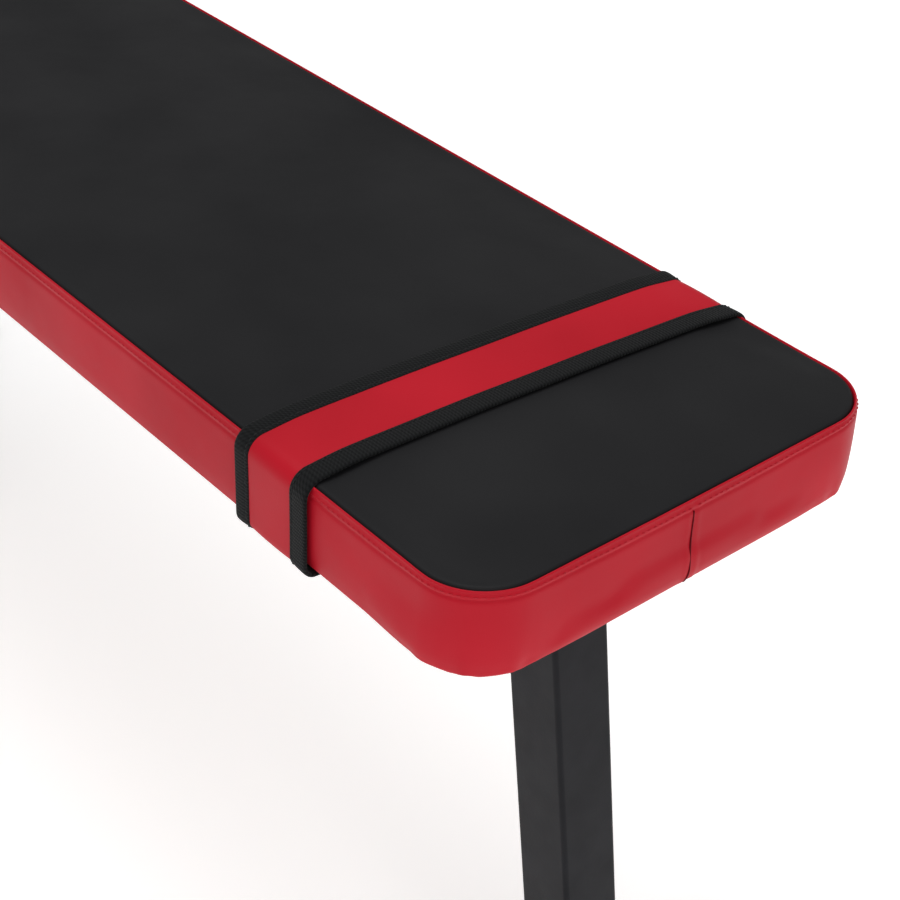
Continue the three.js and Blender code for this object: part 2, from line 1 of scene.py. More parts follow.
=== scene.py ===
"""Looks for the decline sit-up bench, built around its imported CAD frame.

Metres, +Z up, in the CAD frame. Pieces along the pad are drawn in the deck's own axes, in millimetres: x runs
from 0 at the pad's head end to -LENGTH at its foot end, y across the bench, z out of the pad's top.
"""

import json
import math

import bmesh
import bpy
import numpy as np
from mathutils import Matrix, Vector


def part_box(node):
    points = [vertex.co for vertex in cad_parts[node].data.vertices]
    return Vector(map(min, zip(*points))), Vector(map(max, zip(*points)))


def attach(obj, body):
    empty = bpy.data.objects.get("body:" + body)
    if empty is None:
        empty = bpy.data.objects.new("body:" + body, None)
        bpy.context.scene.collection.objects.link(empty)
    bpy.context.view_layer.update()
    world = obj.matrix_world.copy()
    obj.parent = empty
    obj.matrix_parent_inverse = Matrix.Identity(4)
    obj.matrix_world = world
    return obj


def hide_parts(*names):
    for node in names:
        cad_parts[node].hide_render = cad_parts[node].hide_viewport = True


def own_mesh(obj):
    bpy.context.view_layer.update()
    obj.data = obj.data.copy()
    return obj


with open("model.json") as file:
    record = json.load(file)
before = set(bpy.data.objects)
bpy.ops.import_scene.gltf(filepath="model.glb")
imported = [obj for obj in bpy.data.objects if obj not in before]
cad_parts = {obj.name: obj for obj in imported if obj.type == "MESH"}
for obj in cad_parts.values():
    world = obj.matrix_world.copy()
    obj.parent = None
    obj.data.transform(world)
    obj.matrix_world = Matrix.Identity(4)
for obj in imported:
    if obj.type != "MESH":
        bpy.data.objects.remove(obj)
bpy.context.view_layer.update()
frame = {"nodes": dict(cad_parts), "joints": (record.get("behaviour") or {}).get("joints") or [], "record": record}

MM = 0.001
JOINTS = {joint["name"]: joint for joint in frame["joints"]}
BODY_OF = {node: body for body, nodes in frame["record"]["behaviour"]["bodies"].items() for node in nodes}

# ---- Sizes of the soft parts, in millimetres on the deck ----

TOP_SKIN = 1.5
LENGTH = 1080.0
WIDTH = 285.0
THICKNESS = 54.0
CORNER = 38.0
HEM = 33.0

CELL = 9.0  # spacing of the cushion's cloth mesh
CORNER_PATCH = 63.0
SIDE_ROWS = 8
START_INSET = 1.2  # the cover starts this much smaller, and swells
TOP_CAP = 3.4
SIDE_CAP = 3.0
CROWN_RUN = 75.0  # the top rises to its full crown over this much from its edge

BOARD_TRIM = 6.0
SLEEVE_FOOT = -170.5
SLEEVE_PANEL = (-159.5, -124.0)
SLEEVE_HEAD = -111.0
SLEEVE_STANDOFF = 0.5
SLEEVE_SKEW = 0.058  # the loose sleeve has turned on the pad


# ---- The deck's axes, from the frame ----

def deck_matrix():
    axis = Vector(JOINTS["sleeve_slide"]["axis"])
    pitch = math.atan2(-axis.z, axis.x)
    low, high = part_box("pad_top_panel")
    origin = Vector((high[0], 0, low[2] + TOP_SKIN * MM * math.cos(pitch)))
    return Matrix.Translation(origin) @ Matrix.Rotation(pitch, 4, "Y") @ Matrix.Scale(MM, 4)


DECK = deck_matrix()


def unit(vector):
    return Vector(vector).normalized()


# ---- Mesh helpers ----

def add_to_scene(name, data):
    obj = bpy.data.objects.new(name, data)
    bpy.context.scene.collection.objects.link(obj)
    return obj


def shade_smooth(mesh, smooth=True):
    mesh.polygons.foreach_set("use_smooth", [smooth] * len(mesh.polygons))


def new_object(name, verts, faces, matrix=None, smooth=True):
    mesh = bpy.data.meshes.new(name)
    points = [Vector(v) if matrix is None else matrix @ Vector(v) for v in verts]
    mesh.from_pydata([tuple(p) for p in points], [], faces)
    mesh.update()
    shade_smooth(mesh, smooth)
    return add_to_scene(name, mesh)


def grid_faces(rows, columns, wrap=False, ring=False):
    """Quads of a grid of points, row by row. wrap joins each row's ends, ring the first and last row."""
    faces = []
    for r in range(rows if ring else rows - 1):
        here = r * columns
        below = (r + 1) % rows * columns
        for c in range(columns if wrap else columns - 1):
            after = (c + 1) % columns
            faces.append((here + c, here + after, below + after, below + c))
    return faces


def tube_faces(rings, sides, base=0):
    """Faces of a capped tube, whose rings of points follow one another from vertex base."""
    last = base + (rings - 1) * sides
    faces = [tuple(base + i for i in face) for face in grid_faces(rings, sides, wrap=True)]
    faces.append(tuple(base + k for k in reversed(range(sides))))
    faces.append(tuple(last + k for k in range(sides)))
    return faces


def bridge(first, second):
    """Quads between two closed loops of vertex indices."""
    count = len(first)
    return [(first[i], second[i], second[(i + 1) % count], first[(i + 1) % count]) for i in range(count)]


def circle(first, second, radius, count):
    """Offsets to the points of a circle in the plane of two unit directions."""
    turns = [2 * math.pi * k / count for k in range(count)]
    return [(first * math.cos(turn) + second * math.sin(turn)) * radius for turn in turns]


def arc(x, y, radius, start, end, steps=6):
    """Points round a corner whose centre is (x, y). Angles in degrees."""
    angles = [math.radians(angle) for angle in np.linspace(start, end, steps)]
    return [(x + radius * math.cos(angle), y + radius * math.sin(angle)) for angle in angles]


def close(loop):
    """A loop of points with its first point again at its end."""
    return np.concatenate([loop, loop[:1]])


def distances(points):
    """How far along a line of points each of them is."""
    steps = np.linalg.norm(np.diff(points, axis=0), axis=1)
    return np.concatenate([[0], np.cumsum(steps)])


def sample(values, distance, s):
    """The row of values that belongs at distance s along their line."""
    return np.array([np.interp(s, distance, values[:, axis]) for axis in range(3)])


def finish_piece(obj, material, body, slot, *replaced):
    obj.data.materials.clear()
    obj.data.materials.append(material)
    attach(obj, body)
    if replaced:
        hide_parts(*replaced)
    return obj


def apply_modifiers(obj):
    """Replaces the mesh by what its modifiers make of it."""
    graph = bpy.context.evaluated_depsgraph_get()
    made = bpy.data.meshes.new_from_object(obj.evaluated_get(graph))
    obj.modifiers.clear()
    obj.data = made


def recalculate(obj):
    bm = bmesh.new()
    bm.from_mesh(obj.data)
    bmesh.ops.recalc_face_normals(bm, faces=bm.faces)
    bm.to_mesh(obj.data)
    bm.free()


def set_uv(obj, uvs):
    """Gives each vertex its (u, v), in metres."""
    layer = obj.data.uv_layers.new(name="surface")
    loops = np.empty(len(obj.data.loops), dtype=np.int32)
    obj.data.loops.foreach_get("vertex_index", loops)
    layer.data.foreach_set("uv", np.asarray(uvs, dtype=np.float32)[loops].ravel())


# ---- Materials ----

class Shader:
    """Builds one node material, with short names for the nodes that it needs."""

    def __init__(self, name, color, roughness, metallic=0.0, specular=0.5):
        self.material = bpy.data.materials.new(name)
        self.material.use_nodes = True
        self.tree = self.material.node_tree
        self.bsdf = self.tree.nodes["Principled BSDF"]
        self.bsdf.inputs["Base Color"].default_value = (*color, 1)
        self.bsdf.inputs["Roughness"].default_value = roughness
        self.bsdf.inputs["Metallic"].default_value = metallic
        self.bsdf.inputs["Specular IOR Level"].default_value = specular
        self.material.diffuse_color = (*color, 1)

    def node(self, kind, **values):
        made = self.tree.nodes.new(kind)
        for key, value in values.items():
            if key in made.inputs:
                made.inputs[key].default_value = value
            else:
                setattr(made, key, value)
        return made

    def link(self, source, target):
        self.tree.links.new(source, target)

    def coordinates(self, kind="Object", scale=(1, 1, 1)):
        place = self.node("ShaderNodeTexCoord")
        mapping = self.node("ShaderNodeMapping")
        mapping.inputs["Scale"].default_value = scale
        self.link(place.outputs[kind], mapping.inputs["Vector"])
        return mapping.outputs["Vector"]

    def noise(self, vector, scale, detail=3.0, roughness=0.55):
        made = self.node("ShaderNodeTexNoise", Scale=scale, Detail=detail, Roughness=roughness)
        self.link(vector, made.inputs["Vector"])
        return made.outputs["Fac"]

    def cells(self, vector, scale):
        made = self.node("ShaderNodeTexVoronoi", Scale=scale, feature="F1")
        self.link(vector, made.inputs["Vector"])
        return made.outputs["Distance"]

    def spread(self, value, low, high, from_low=0.3, from_high=0.7):
        made = self.node("ShaderNodeMapRange")
        ends = {"From Min": from_low, "From Max": from_high, "To Min": low, "To Max": high}
        for key, number in ends.items():
            made.inputs[key].default_value = number
        self.link(value, made.inputs["Value"])
        return made.outputs["Result"]

    def math(self, operation, first, second):
        made = self.node("ShaderNodeMath", operation=operation)
        self.link(first, made.inputs[0])
        if isinstance(second, float):
            made.inputs[1].default_value = second
        else:
            self.link(second, made.inputs[1])
        return made.outputs["Value"]

    def tint(self, factor, first, second):
        made = self.node("ShaderNodeMix", data_type="RGBA")
        start, end = (socket for socket in made.inputs if socket.type == "RGBA")
        start.default_value = (*first, 1)
        end.default_value = (*second, 1)
        self.link(factor, made.inputs["Factor"])
        mixed = next(socket for socket in made.outputs if socket.type == "RGBA")
        self.link(mixed, self.bsdf.inputs["Base Color"])

    def tone(self, place, scale, detail, dark, light):
        """Patches of two tones."""
        self.tint(self.spread(self.noise(place, scale, detail), 0, 1), dark, light)

    def gloss(self, place, scale, detail, low, high):
        """Patches of two roughnesses."""
        self.link(self.spread(self.noise(place, scale, detail), low, high), self.bsdf.inputs["Roughness"])

    def bump(self, height, distance, strength=1.0, below=None):
        made = self.node("ShaderNodeBump", Distance=distance, Strength=strength)
        self.link(height, made.inputs["Height"])
        if below is not None:
            self.link(below, made.inputs["Normal"])
        self.link(made.outputs["Normal"], self.bsdf.inputs["Normal"])
        return made.outputs["Normal"]


def vinyl(name, dark, light, roughness, specular):
    """Upholstery vinyl: a fine pebbled grain, soft cloudy gloss and a slight change of tone."""
    shader = Shader(name, light, roughness, specular=specular)
    shader.bsdf.inputs["IOR"].default_value = 1.35
    place = shader.coordinates()
    shader.tone(place, 9, 2, dark, light)
    shader.gloss(place, 14, 4, roughness - 0.05, roughness + 0.07)
    slack = shader.bump(shader.noise(place, 26, 2), 0.0012, 0.35)
    grain = shader.math("ADD", shader.cells(place, 1150), shader.noise(place, 1900, 2))
    shader.bump(grain, 0.00006, 0.45, below=slack)
    return shader.material


def webbing(name, dark, light):
    """Woven tape: ribs across it and a thread's twill along it, from the tape's own u and v."""
    shader = Shader(name, light, 0.86, specular=0.12)
    place = shader.coordinates("UV")
    ribs = shader.node("ShaderNodeTexWave", Scale=160.0, bands_direction="X")
    twill = shader.node("ShaderNodeTexWave", Scale=260.0, bands_direction="DIAGONAL")
    shader.link(place, ribs.inputs["Vector"])
    shader.link(place, twill.inputs["Vector"])
    weave = shader.math("ADD", ribs.outputs["Fac"], shader.math("MULTIPLY", twill.outputs["Fac"], 0.7))
    shader.tint(shader.spread(weave, 0, 1, 0.2, 1.5), dark, light)
    fuzz = shader.noise(shader.coordinates(), 2600, 2)
    shader.bump(shader.math("ADD", weave, fuzz), 0.00022, 0.8)
    shader.bsdf.inputs["Sheen Weight"].default_value = 0.05
    shader.bsdf.inputs["Sheen Roughness"].default_value = 0.5
    return shader.material


def powder_coat(name, dark, light):
    """Satin powder coat on steel: orange peel, with a little change of tone and gloss."""
    shader = Shader(name, light, 0.42, specular=0.2)
    shader.bsdf.inputs["IOR"].default_value = 1.35
    place = shader.coordinates()
    shader.tone(place, 30, 4, dark, light)
    shader.gloss(place, 45, 5, 0.36, 0.5)
    peel = shader.bump(shader.noise(place, 620, 2), 0.00009, 0.5)
    shader.bump(shader.noise(place, 2600, 2), 0.00003, 0.4, below=peel)
    return shader.material


def moulded_plastic(name, dark, light, roughness=0.5):
    """Moulded plastic with a fine spark-eroded texture."""
    shader = Shader(name, light, roughness, specular=0.45)
    place = shader.coordinates()
    shader.tone(place, 60, 3, dark, light)
    shader.gloss(place, 90, 4, roughness - 0.06, roughness + 0.08)
    shader.bump(shader.noise(place, 1800, 3), 0.00005, 0.6)
    return shader.material


def foam_rubber(name, dark, light):
    """Closed-cell foam: a skin of small pores and a soft, dry look."""
    shader = Shader(name, light, 0.82, specular=0.3)
    place = shader.coordinates()
    shader.tone(place, 40, 4, dark, light)
    shader.gloss(place, 120, 4, 0.74, 0.9)
    dents = shader.bump(shader.noise(place, 70, 3), 0.0008, 0.3)
    pores = shader.math("SUBTRACT", shader.noise(place, 900, 3), shader.cells(place, 620))
    shader.bump(pores, 0.0002, 0.7, below=dents)
    shader.bsdf.inputs["Sheen Weight"].default_value = 0.12
    return shader.material


def metal(name, color, roughness, streak_scale):
    """Bare plated metal, with a drawn grain and patches of duller plating."""
    shader = Shader(name, color, roughness, metallic=1.0)
    place = shader.coordinates()
    shader.tone(place, 90, 4, [0.82 * v for v in color], color)
    shader.gloss(place, 160, 5, roughness - 0.06, roughness + 0.1)
    drawn = shader.coordinates(scale=(streak_scale, streak_scale, 40))
    shader.bump(shader.noise(drawn, 1, 2), 0.00003, 0.5)
    return shader.material


def plywood(name):
    """The board's rough face and its plies."""
    shader = Shader(name, (0.5, 0.32, 0.15), 0.72)
    grain = shader.noise(shader.coordinates(scale=(6, 130, 420)), 1, 6, 0.65)
    shader.tint(shader.spread(grain, 0, 1, 0.35, 0.65), (0.32, 0.185, 0.08), (0.56, 0.37, 0.185))
    shader.bump(grain, 0.0003, 0.5)
    return shader.material


def thread(name, color):
    shader = Shader(name, color, 0.7, specular=0.3)
    place = shader.coordinates()
    twist = shader.noise(place, 2400, 2)
    shader.tint(shader.spread(twist, 0, 1), [0.7 * v for v in color], color)
    shader.bump(twist, 0.0001, 0.7)
    return shader.material


BLACK_VINYL = vinyl("black_vinyl", (0.0098, 0.0098, 0.0108), (0.0150, 0.0150, 0.0160), 0.54, 0.2)
RED_VINYL = vinyl("red_vinyl", (0.42, 0.006, 0.016), (0.51, 0.009, 0.022), 0.47, 0.2)
WEBBING = webbing("woven_binding", (0.0025, 0.0027, 0.0030), (0.0085, 0.0092, 0.0098))
PAINT = powder_coat("black_powder_coat", (0.0085, 0.0085, 0.0105), (0.013, 0.013, 0.016))
PLASTIC = moulded_plastic("black_moulding", (0.014, 0.014, 0.015), (0.022, 0.022, 0.023))
FOAM = foam_rubber("roller_foam", (0.017, 0.017, 0.018), (0.030, 0.030, 0.031))
ZINC = metal("zinc_plating", (0.56, 0.57, 0.58), 0.34, 900)
CHROME = metal("bright_chrome", (0.78, 0.78, 0.80), 0.14, 300)
PLYWOOD = plywood("plywood")
RED_THREAD = thread("red_thread", (0.50, 0.010, 0.023))
# Painted shade: a darker red vinyl for the thin tube that stands for the shadow in the head-end seam's groove.
SEAM_PAINTED_SHADE = vinyl("seam_painted_shade", (0.10, 0.004, 0.007), (0.13, 0.005, 0.009), 0.62, 0.1)
BLACK_THREAD = thread("black_thread", (0.014, 0.014, 0.015))

SLOT_MATERIAL = {
    "black_paint": PAINT,
    "black_plastic": PLASTIC,
    "zinc_steel": ZINC,
    "bright_pin": CHROME,
    "plywood": PLYWOOD,
    "roller_foam": FOAM,
    "black_vinyl": BLACK_VINYL,
    "red_vinyl": RED_VINYL,
    "webbing": WEBBING,
    "cushion_foam": FOAM,
}
SLOT_OF = {part["node"]: part["material_slot"] for part in frame["record"]["subparts"]}


# ---- The pad's outline ----

def corner_warp(a, b):
    """Maps a corner patch's square, a and b from 0 to 1, to the pad's round corner at (1, 1)."""
    straight = CORNER_PATCH - CORNER
    length = straight + CORNER * math.pi / 4

    def edge(t):
        """The outline from the patch's side, t = 0, to the arc's middle: along, and in from the side."""
        s = t * length
        if s <= straight:
            return s, 0.0
        angle = (s - straight) / CORNER
        return straight + CORNER * math.sin(angle), CORNER * (1 - math.cos(angle))

    along, inward = edge(b)
    side = (CORNER_PATCH - inward, along)
    along, inward = edge(a)
    top = (along, CORNER_PATCH - inward)
    middle = CORNER_PATCH - CORNER * (1 - math.sqrt(0.5))
    point = []
    for axis in (0, 1):
        low_edge = (1 - a) * (0, b * CORNER_PATCH)[axis] + a * side[axis]
        cross_edge = (1 - b) * (a * CORNER_PATCH, 0)[axis] + b * top[axis]
        flat = a * (1 - b) * (CORNER_PATCH, 0)[axis] + b * (1 - a) * (0, CORNER_PATCH)[axis]
        point.append(low_edge + cross_edge - flat - a * b * middle)
    return point


def pad_point(x, y):
    """Where a point of the plain rectangle goes once its corners are round, from the pad's centre."""
    u = abs(x) - (LENGTH / 2 - CORNER_PATCH)
    v = abs(y) - (WIDTH / 2 - CORNER_PATCH)
    if u <= 0 or v <= 0:
        return x, y
    a, b = corner_warp(u / CORNER_PATCH, v / CORNER_PATCH)
    return (
        math.copysign(LENGTH / 2 - CORNER_PATCH + a, x),
        math.copysign(WIDTH / 2 - CORNER_PATCH + b, y),
    )


def lines(half, patch):
    """Grid lines from -half to half, with one at each edge of the corner patches."""
    corner_count = round(patch / CELL)
    middle_count = 2 * round((half - patch) / CELL)
    corner = np.linspace(0, patch, corner_count + 1)
    middle = np.linspace(-(half - patch), half - patch, middle_count + 1)
    return np.concatenate([-half + corner[:-1], middle, half - patch + corner[1:]])


XS = lines(LENGTH / 2, CORNER_PATCH)
YS = lines(WIDTH / 2, CORNER_PATCH)
COLUMNS = len(XS)
ROWS = len(YS)


def rim_indices():
    """Grid indices round the edge, counter-clockwise from above, starting in the head end's middle."""
    head = [(r, COLUMNS - 1) for r in range(ROWS)]
    left = [(ROWS - 1, c) for c in range(COLUMNS - 2, -1, -1)]
    foot = [(r, 0) for r in range(ROWS - 2, -1, -1)]
    right = [(0, c) for c in range(1, COLUMNS - 1)]
    loop = [r * COLUMNS + c for r, c in head + left + foot + right]
    start = ROWS // 2
    return loop[start:] + loop[:start]


RIM = rim_indices()


def flat_grid():
    """The top panel's points on the deck: an array of (x, y)."""
    points = [pad_point(x, y) for y in YS for x in XS]
    return np.array(points) - (LENGTH / 2, 0)


def outward(points):
    """Unit normals, away from the pad, of a closed loop of (x, y) points."""
    ahead = np.roll(points, -1, axis=0) - np.roll(points, 1, axis=0)
    normal = np.stack([ahead[:, 1], -ahead[:, 0]], axis=1)
    return normal / np.linalg.norm(normal, axis=1, keepdims=True)


# ---- The cushion, swollen as cloth ----

def cushion_start():
    """A closed mesh of the cover before it swells: top grid, side rows, bottom grid. Deck millimetres."""
    flat = flat_grid()
    rim = flat[RIM]
    normals = outward(rim)
    shrink = 1 - START_INSET * 2 / WIDTH
    centre = np.array([-LENGTH / 2, 0])
    small = centre + (flat - centre) * (1 - 2 * START_INSET / LENGTH, shrink)
    small[RIM] = rim - normals * START_INSET
    count = len(flat)
    verts = [(x, y, -START_INSET) for x, y in small]
    for row in range(1, SIDE_ROWS):
        depth = THICKNESS * row / SIDE_ROWS
        verts += [(x, y, -depth) for x, y in small[RIM]]
    bottom = len(verts)
    verts += [(x, y, -THICKNESS) for x, y in small]
    faces = grid_faces(ROWS, COLUMNS)
    side_loops = [list(range(start, start + len(RIM))) for start in range(count, bottom, len(RIM))]
    loops = [RIM, *side_loops, [bottom + i for i in RIM]]
    for upper, lower in zip(loops, loops[1:]):
        faces += bridge(upper, lower)
    faces += [tuple(bottom + i for i in reversed(face)) for face in grid_faces(ROWS, COLUMNS)]
    return np.array(verts), faces, loops, bottom


CLOTH = {
    "quality": 6,
    "mass": 0.25,
    "tension_stiffness": 18,
    "compression_stiffness": 18,
    "shear_stiffness": 8,
    "bending_stiffness": 3.0,
    "use_pressure": True,
    "uniform_pressure_force": 4.0,
    "pin_stiffness": 1.0,
}
CLOTH_FRAMES = 20
SEAM_HOLD = 0.12  # how firmly the top seam is held while the cover swells


def swell(verts, faces, loops, bottom):
    """Inflates the cover as cloth that is stapled underneath and held in along its top seam."""
    obj = new_object("cushion_cloth", [tuple(v * MM) for v in verts], faces)
    pins = obj.vertex_groups.new(name="held")
    pins.add(list(range(bottom, len(verts))), 1.0, "REPLACE")
    pins.add(loops[-1], 1.0, "REPLACE")
    pins.add(loops[0], SEAM_HOLD, "REPLACE")
    cloth = obj.modifiers.new("cloth", "CLOTH")
    settings = cloth.settings
    for key, value in CLOTH.items():
        setattr(settings, key, value)
    settings.vertex_group_mass = "held"
    settings.effector_weights.gravity = 0
    cloth.collision_settings.use_collision = False
    scene = bpy.context.scene
    for number in range(1, CLOTH_FRAMES + 1):
        scene.frame_set(number)
    graph = bpy.context.evaluated_depsgraph_get()
    swollen = obj.evaluated_get(graph).data
    result = np.array([v.co for v in swollen.vertices]) / MM
    scene.frame_set(1)
    bpy.data.objects.remove(obj, do_unlink=True)
    return result


def from_edge(points):
    """How far in from the pad's nearest edge each point is."""
    from_end = np.minimum(-points[:, 0], LENGTH + points[:, 0])
    return np.minimum(WIDTH / 2 - np.abs(points[:, 1]), from_end)


def cap_moves(start, moved, loops, top_count):
    """Keeps the cloth's shape within the caps on its movement. The foam holds the side out."""
    move = moved - start
    normals = outward(start[loops[0]][:, :2])
    for row, loop in enumerate(loops[1:-1], 1):
        along = (move[loop, :2] * normals).sum(axis=1)
        least = 0.9 * math.sin(math.pi * row / SIDE_ROWS)
        move[loop, :2] += normals * (np.maximum(along, least) - along)[:, None]
    reach = np.linalg.norm(move, axis=1)
    limit = np.full(len(start), SIDE_CAP)
    rise = np.clip(from_edge(start[:top_count]) / CROWN_RUN, 0, 1)
    limit[:top_count] = START_INSET + (TOP_CAP - START_INSET) * rise * (2 - rise)
    limit[loops[0]] = START_INSET
    soft = limit * np.tanh(reach / limit)
    scale = np.where(reach > 1e-6, soft / np.maximum(reach, 1e-6), 0)
    return start + move * scale[:, None]


# ---- The cover's pieces ----

FINE = 4  # side points for each point of the cloth's rim
# The black panel's own edge and the rings that dip into the seam, as (inset from the rim, height over it)
PANEL_RIM = (3.2, 0.55)
PANEL_PROFILE = ((2.1, 0.15), (1.35, -0.55), (1.0, -1.5), (0.9, -2.6))


def cubic(before, start, end, beyond, t):
    """A point between start and end on the smooth curve through four points, at t from 0 to 1."""
    return (
        (-0.5 * t + t * t - 0.5 * t**3) * before
        + (1 - 2.5 * t * t + 1.5 * t**3) * start
        + (0.5 * t + 2 * t * t - 1.5 * t**3) * end
        + (-0.5 * t * t + 0.5 * t**3) * beyond
    )


def resample_loop(points, factor):
    """A closed loop with factor times as many points, by cubic interpolation."""
    before, after, beyond = (np.roll(points, step, axis=0) for step in (1, -1, -2))
    out = [cubic(before, points, after, beyond, k / factor) for k in range(factor)]
    return np.stack(out, axis=1).reshape(-1, points.shape[1])


def smooth_bump(distance, width):
    """1 at distance 0, falling smoothly to 0 at width."""
    t = np.clip(np.abs(distance) / width, 0, 1)
    return (1 - t * t) ** 2


def make_top_panel(shape, rim):
    """The black panel: the swollen grid, drawn in at its rim, with an edge that dips into the seam."""
    flat_rim = rim[:, :2]
    normals = outward(flat_rim)
    verts = shape[: ROWS * COLUMNS].copy()
    inset, lift = PANEL_RIM
    verts[RIM, :2] = flat_rim - normals * inset
    verts[RIM, 2] = rim[:, 2] + lift
    faces = grid_faces(ROWS, COLUMNS)
    previous = list(RIM)
    points = [tuple(v) for v in verts]
    for inset, lift in PANEL_PROFILE:
        start = len(points)
        ring = flat_rim - normals * inset
        points += [(x, y, z + lift) for (x, y), z in zip(ring, rim[:, 2])]
        current = list(range(start, start + len(RIM)))
        faces += bridge(previous, current)
        previous = current
    panel = new_object("pad_cover_top", points, faces, DECK)
    subdivide(panel, 2)
    return finish_piece(panel, BLACK_VINYL, "bench_frame", "black_vinyl", "pad_top_panel", "pad_foam")


def subdivide(obj, levels):
    surface = obj.modifiers.new("surface", "SUBSURF")
    surface.levels = levels
    surface.render_levels = levels
    apply_modifiers(obj)
    shade_smooth(obj.data)


# Rings of the side band, as (inset from the rim, height over the rim or the pad's bottom)
LIP_PROFILE = ((0.95, -2.6), (0.8, -1.3), (0.5, -0.35), (0.1, 0.1), (-0.4, -0.1), (-0.75, -0.8))
HEM_PROFILE = ((1.9, 1.3), (3.6, 0.4), (6, -0.1), (10, -0.2), (17, -0.1), (25, 0), (HEM, 0))
HEM_THICKNESS = 1.3
SIDE_DEPTHS = (
    2.0, 3.0, 3.8, 4.6, 5.2, 5.8, 6.6, 7.6, 9, 11, 14, 18, 22, 26, 30, 34, 38, 42, 45, 47.5, 49.5, 51,
)
STITCH_RING = 2  # the ring of the side that the edge stitches lie on
STAPLE_RING = -3  # the ring of the hem that the staples lie on
STAPLE_PITCH = 27.0
STAPLE_REACH = 5.2
STAPLE_RADIUS = 0.42
STAPLE_SHAPE = ((-1, 0.8), (-1, -0.25), (-0.92, -0.5), (0.92, -0.5), (1, -0.25), (1, 0.8))
SEAM_Y = -1.2  # the joint in the side band, on the head end
SEAM_SLANT = 0.03  # how far the joint leans, for each millimetre down
# Thickness and lift of the tube of painted shadow in the head-end seam.
SEAM_SHADOW_RADIUS = 0.42
SEAM_SHADOW_LIFT = 0.2
STITCH_DROP = 5.6  # the turned seam under the top edge shows as a soft ridge


def side_detail(x, y, depth):
    """How far the side band stands out from its swollen shape, in millimetres, at each rim point."""
    ridge = ((0.42, -1.6, 1.7), (-0.5, 0, 1.5))
    detail = sum(height * smooth_bump(depth - STITCH_DROP - at, width) for height, at, width in ridge)
    seam = ((0.5, -2.6, 2.6), (-2.0, 0, 1.3), (0.45, 3.4, 2.4), (-0.35, 6.4, 1.2))
    groove = sum(height * smooth_bump(y - SEAM_Y - at, width) for height, at, width in seam)
    detail = detail + np.where(x > -CORNER, groove, 0)
    beside = smooth_bump(x + 48, 34) * smooth_bump(depth - 40, 22) * (np.abs(y) > WIDTH / 2 - 12)
    return detail + 2.2 * beside + pucker(x, y, depth)


def pucker(x, y, depth):
    """Small gathers at the bottom of the corners, where the vinyl is pulled under the board."""
    from_side = WIDTH / 2 - np.abs(y)
    from_end = np.minimum(-x, LENGTH + x)
    in_corner = np.clip((CORNER + 14 - np.maximum(from_side, from_end)) / 20, 0, 1)
    angle = np.arctan2(CORNER - from_side, CORNER - from_end + 1e-6)
    folds = np.sin(angle * 11 + 1.1) + 0.6 * np.sin(angle * 19 + 0.4)
    fade = np.exp(-max(THICKNESS - depth, 0) / 9.0)
    return -0.7 * in_corner * fade * folds


def side_at(rows, depth):
    """The swollen side at a depth below the top edge, by cubic interpolation between the cloth's rows."""
    position = min(max(depth / THICKNESS * SIDE_ROWS, 0), SIDE_ROWS - 1e-6)
    k = int(position)
    picks = [rows[min(max(k + step, 0), SIDE_ROWS)] for step in (-1, 0, 1, 2)]
    return cubic(*picks, position - k)


def inset_ring(ring, normals, inset):
    moved = ring.copy()
    moved[:, :2] -= normals * inset
    return moved


def make_side_band(loops):
    """The red wall: lip, turned seam, swollen side, and the hem under the board."""
    rows = [resample_loop(loop, FINE) for loop in loops]
    normals = outward(rows[0][:, :2])
    rings = []
    for inset, lift in LIP_PROFILE:
        rings.append(inset_ring(rows[0], normals, inset) + (0, 0, lift))
    for depth in SIDE_DEPTHS:
        ring = side_at(rows, depth)
        turn_under = 0.9 * smooth_bump(THICKNESS - depth, 12)
        swell_out = 0.35 * math.exp(-depth / 3.5) - turn_under
        ring[:, :2] += normals * (side_detail(ring[:, 0], ring[:, 1], depth) + swell_out)[:, None]
        rings.append(ring)
    foot = side_at(rows, THICKNESS)
    gather = pucker(foot[:, 0], foot[:, 1], THICKNESS)
    for inset, rise in HEM_PROFILE:
        ring = inset_ring(foot, normals, inset)
        ring[:, 2] = rise - THICKNESS + 0.8 * gather * math.exp(-inset / 12)
        rings.append(ring)
    inner = rings[-1].copy()
    inner[:, 2] = HEM_THICKNESS - THICKNESS
    rings.append(inner)
    verts = [tuple(point) for ring in rings for point in ring]
    band = new_object("pad_cover_side", verts, grid_faces(len(rings), len(inner), wrap=True), DECK)
    recalculate(band)
    subdivide(band, 1)
    return finish_piece(band, RED_VINYL, "bench_frame", "red_vinyl", "pad_side_band"), rings


def stitch_row(name, points, normals, length, gap, radius, material, body, slot):
    """A row of stitches along a line of deck points: short raised threads that dip at their ends."""
    points = np.asarray(points)
    distance = distances(points)
    total = distance[-1]
    sides = 6
    rings = 5
    reach = 0.4  # how far ahead and behind the thread's direction is taken from
    verts = []
    faces = []
    for number in range(int(total // (length + gap))):
        start = number * (length + gap) + gap / 2
        faces += tube_faces(rings, sides, len(verts))
        for ring in range(rings):
            t = ring / (rings - 1)
            s = start + t * length
            centre = Vector(sample(points, distance, s))
            up = Vector(sample(normals, distance, s)).normalized()
            ahead = sample(points, distance, min(s + reach, total))
            behind = sample(points, distance, max(s - reach, 0))
            side = Vector(ahead - behind).normalized().cross(up)
            arch = math.sin(math.pi * t)
            thickness = radius * (0.45 + 0.55 * arch)
            lift = up * (radius * (1.3 * arch - 0.7))
            verts += [tuple(centre + lift + offset) for offset in circle(side, up, thickness, sides)]
    row = new_object(name, verts, faces, DECK)
    return finish_piece(row, material, body, slot)


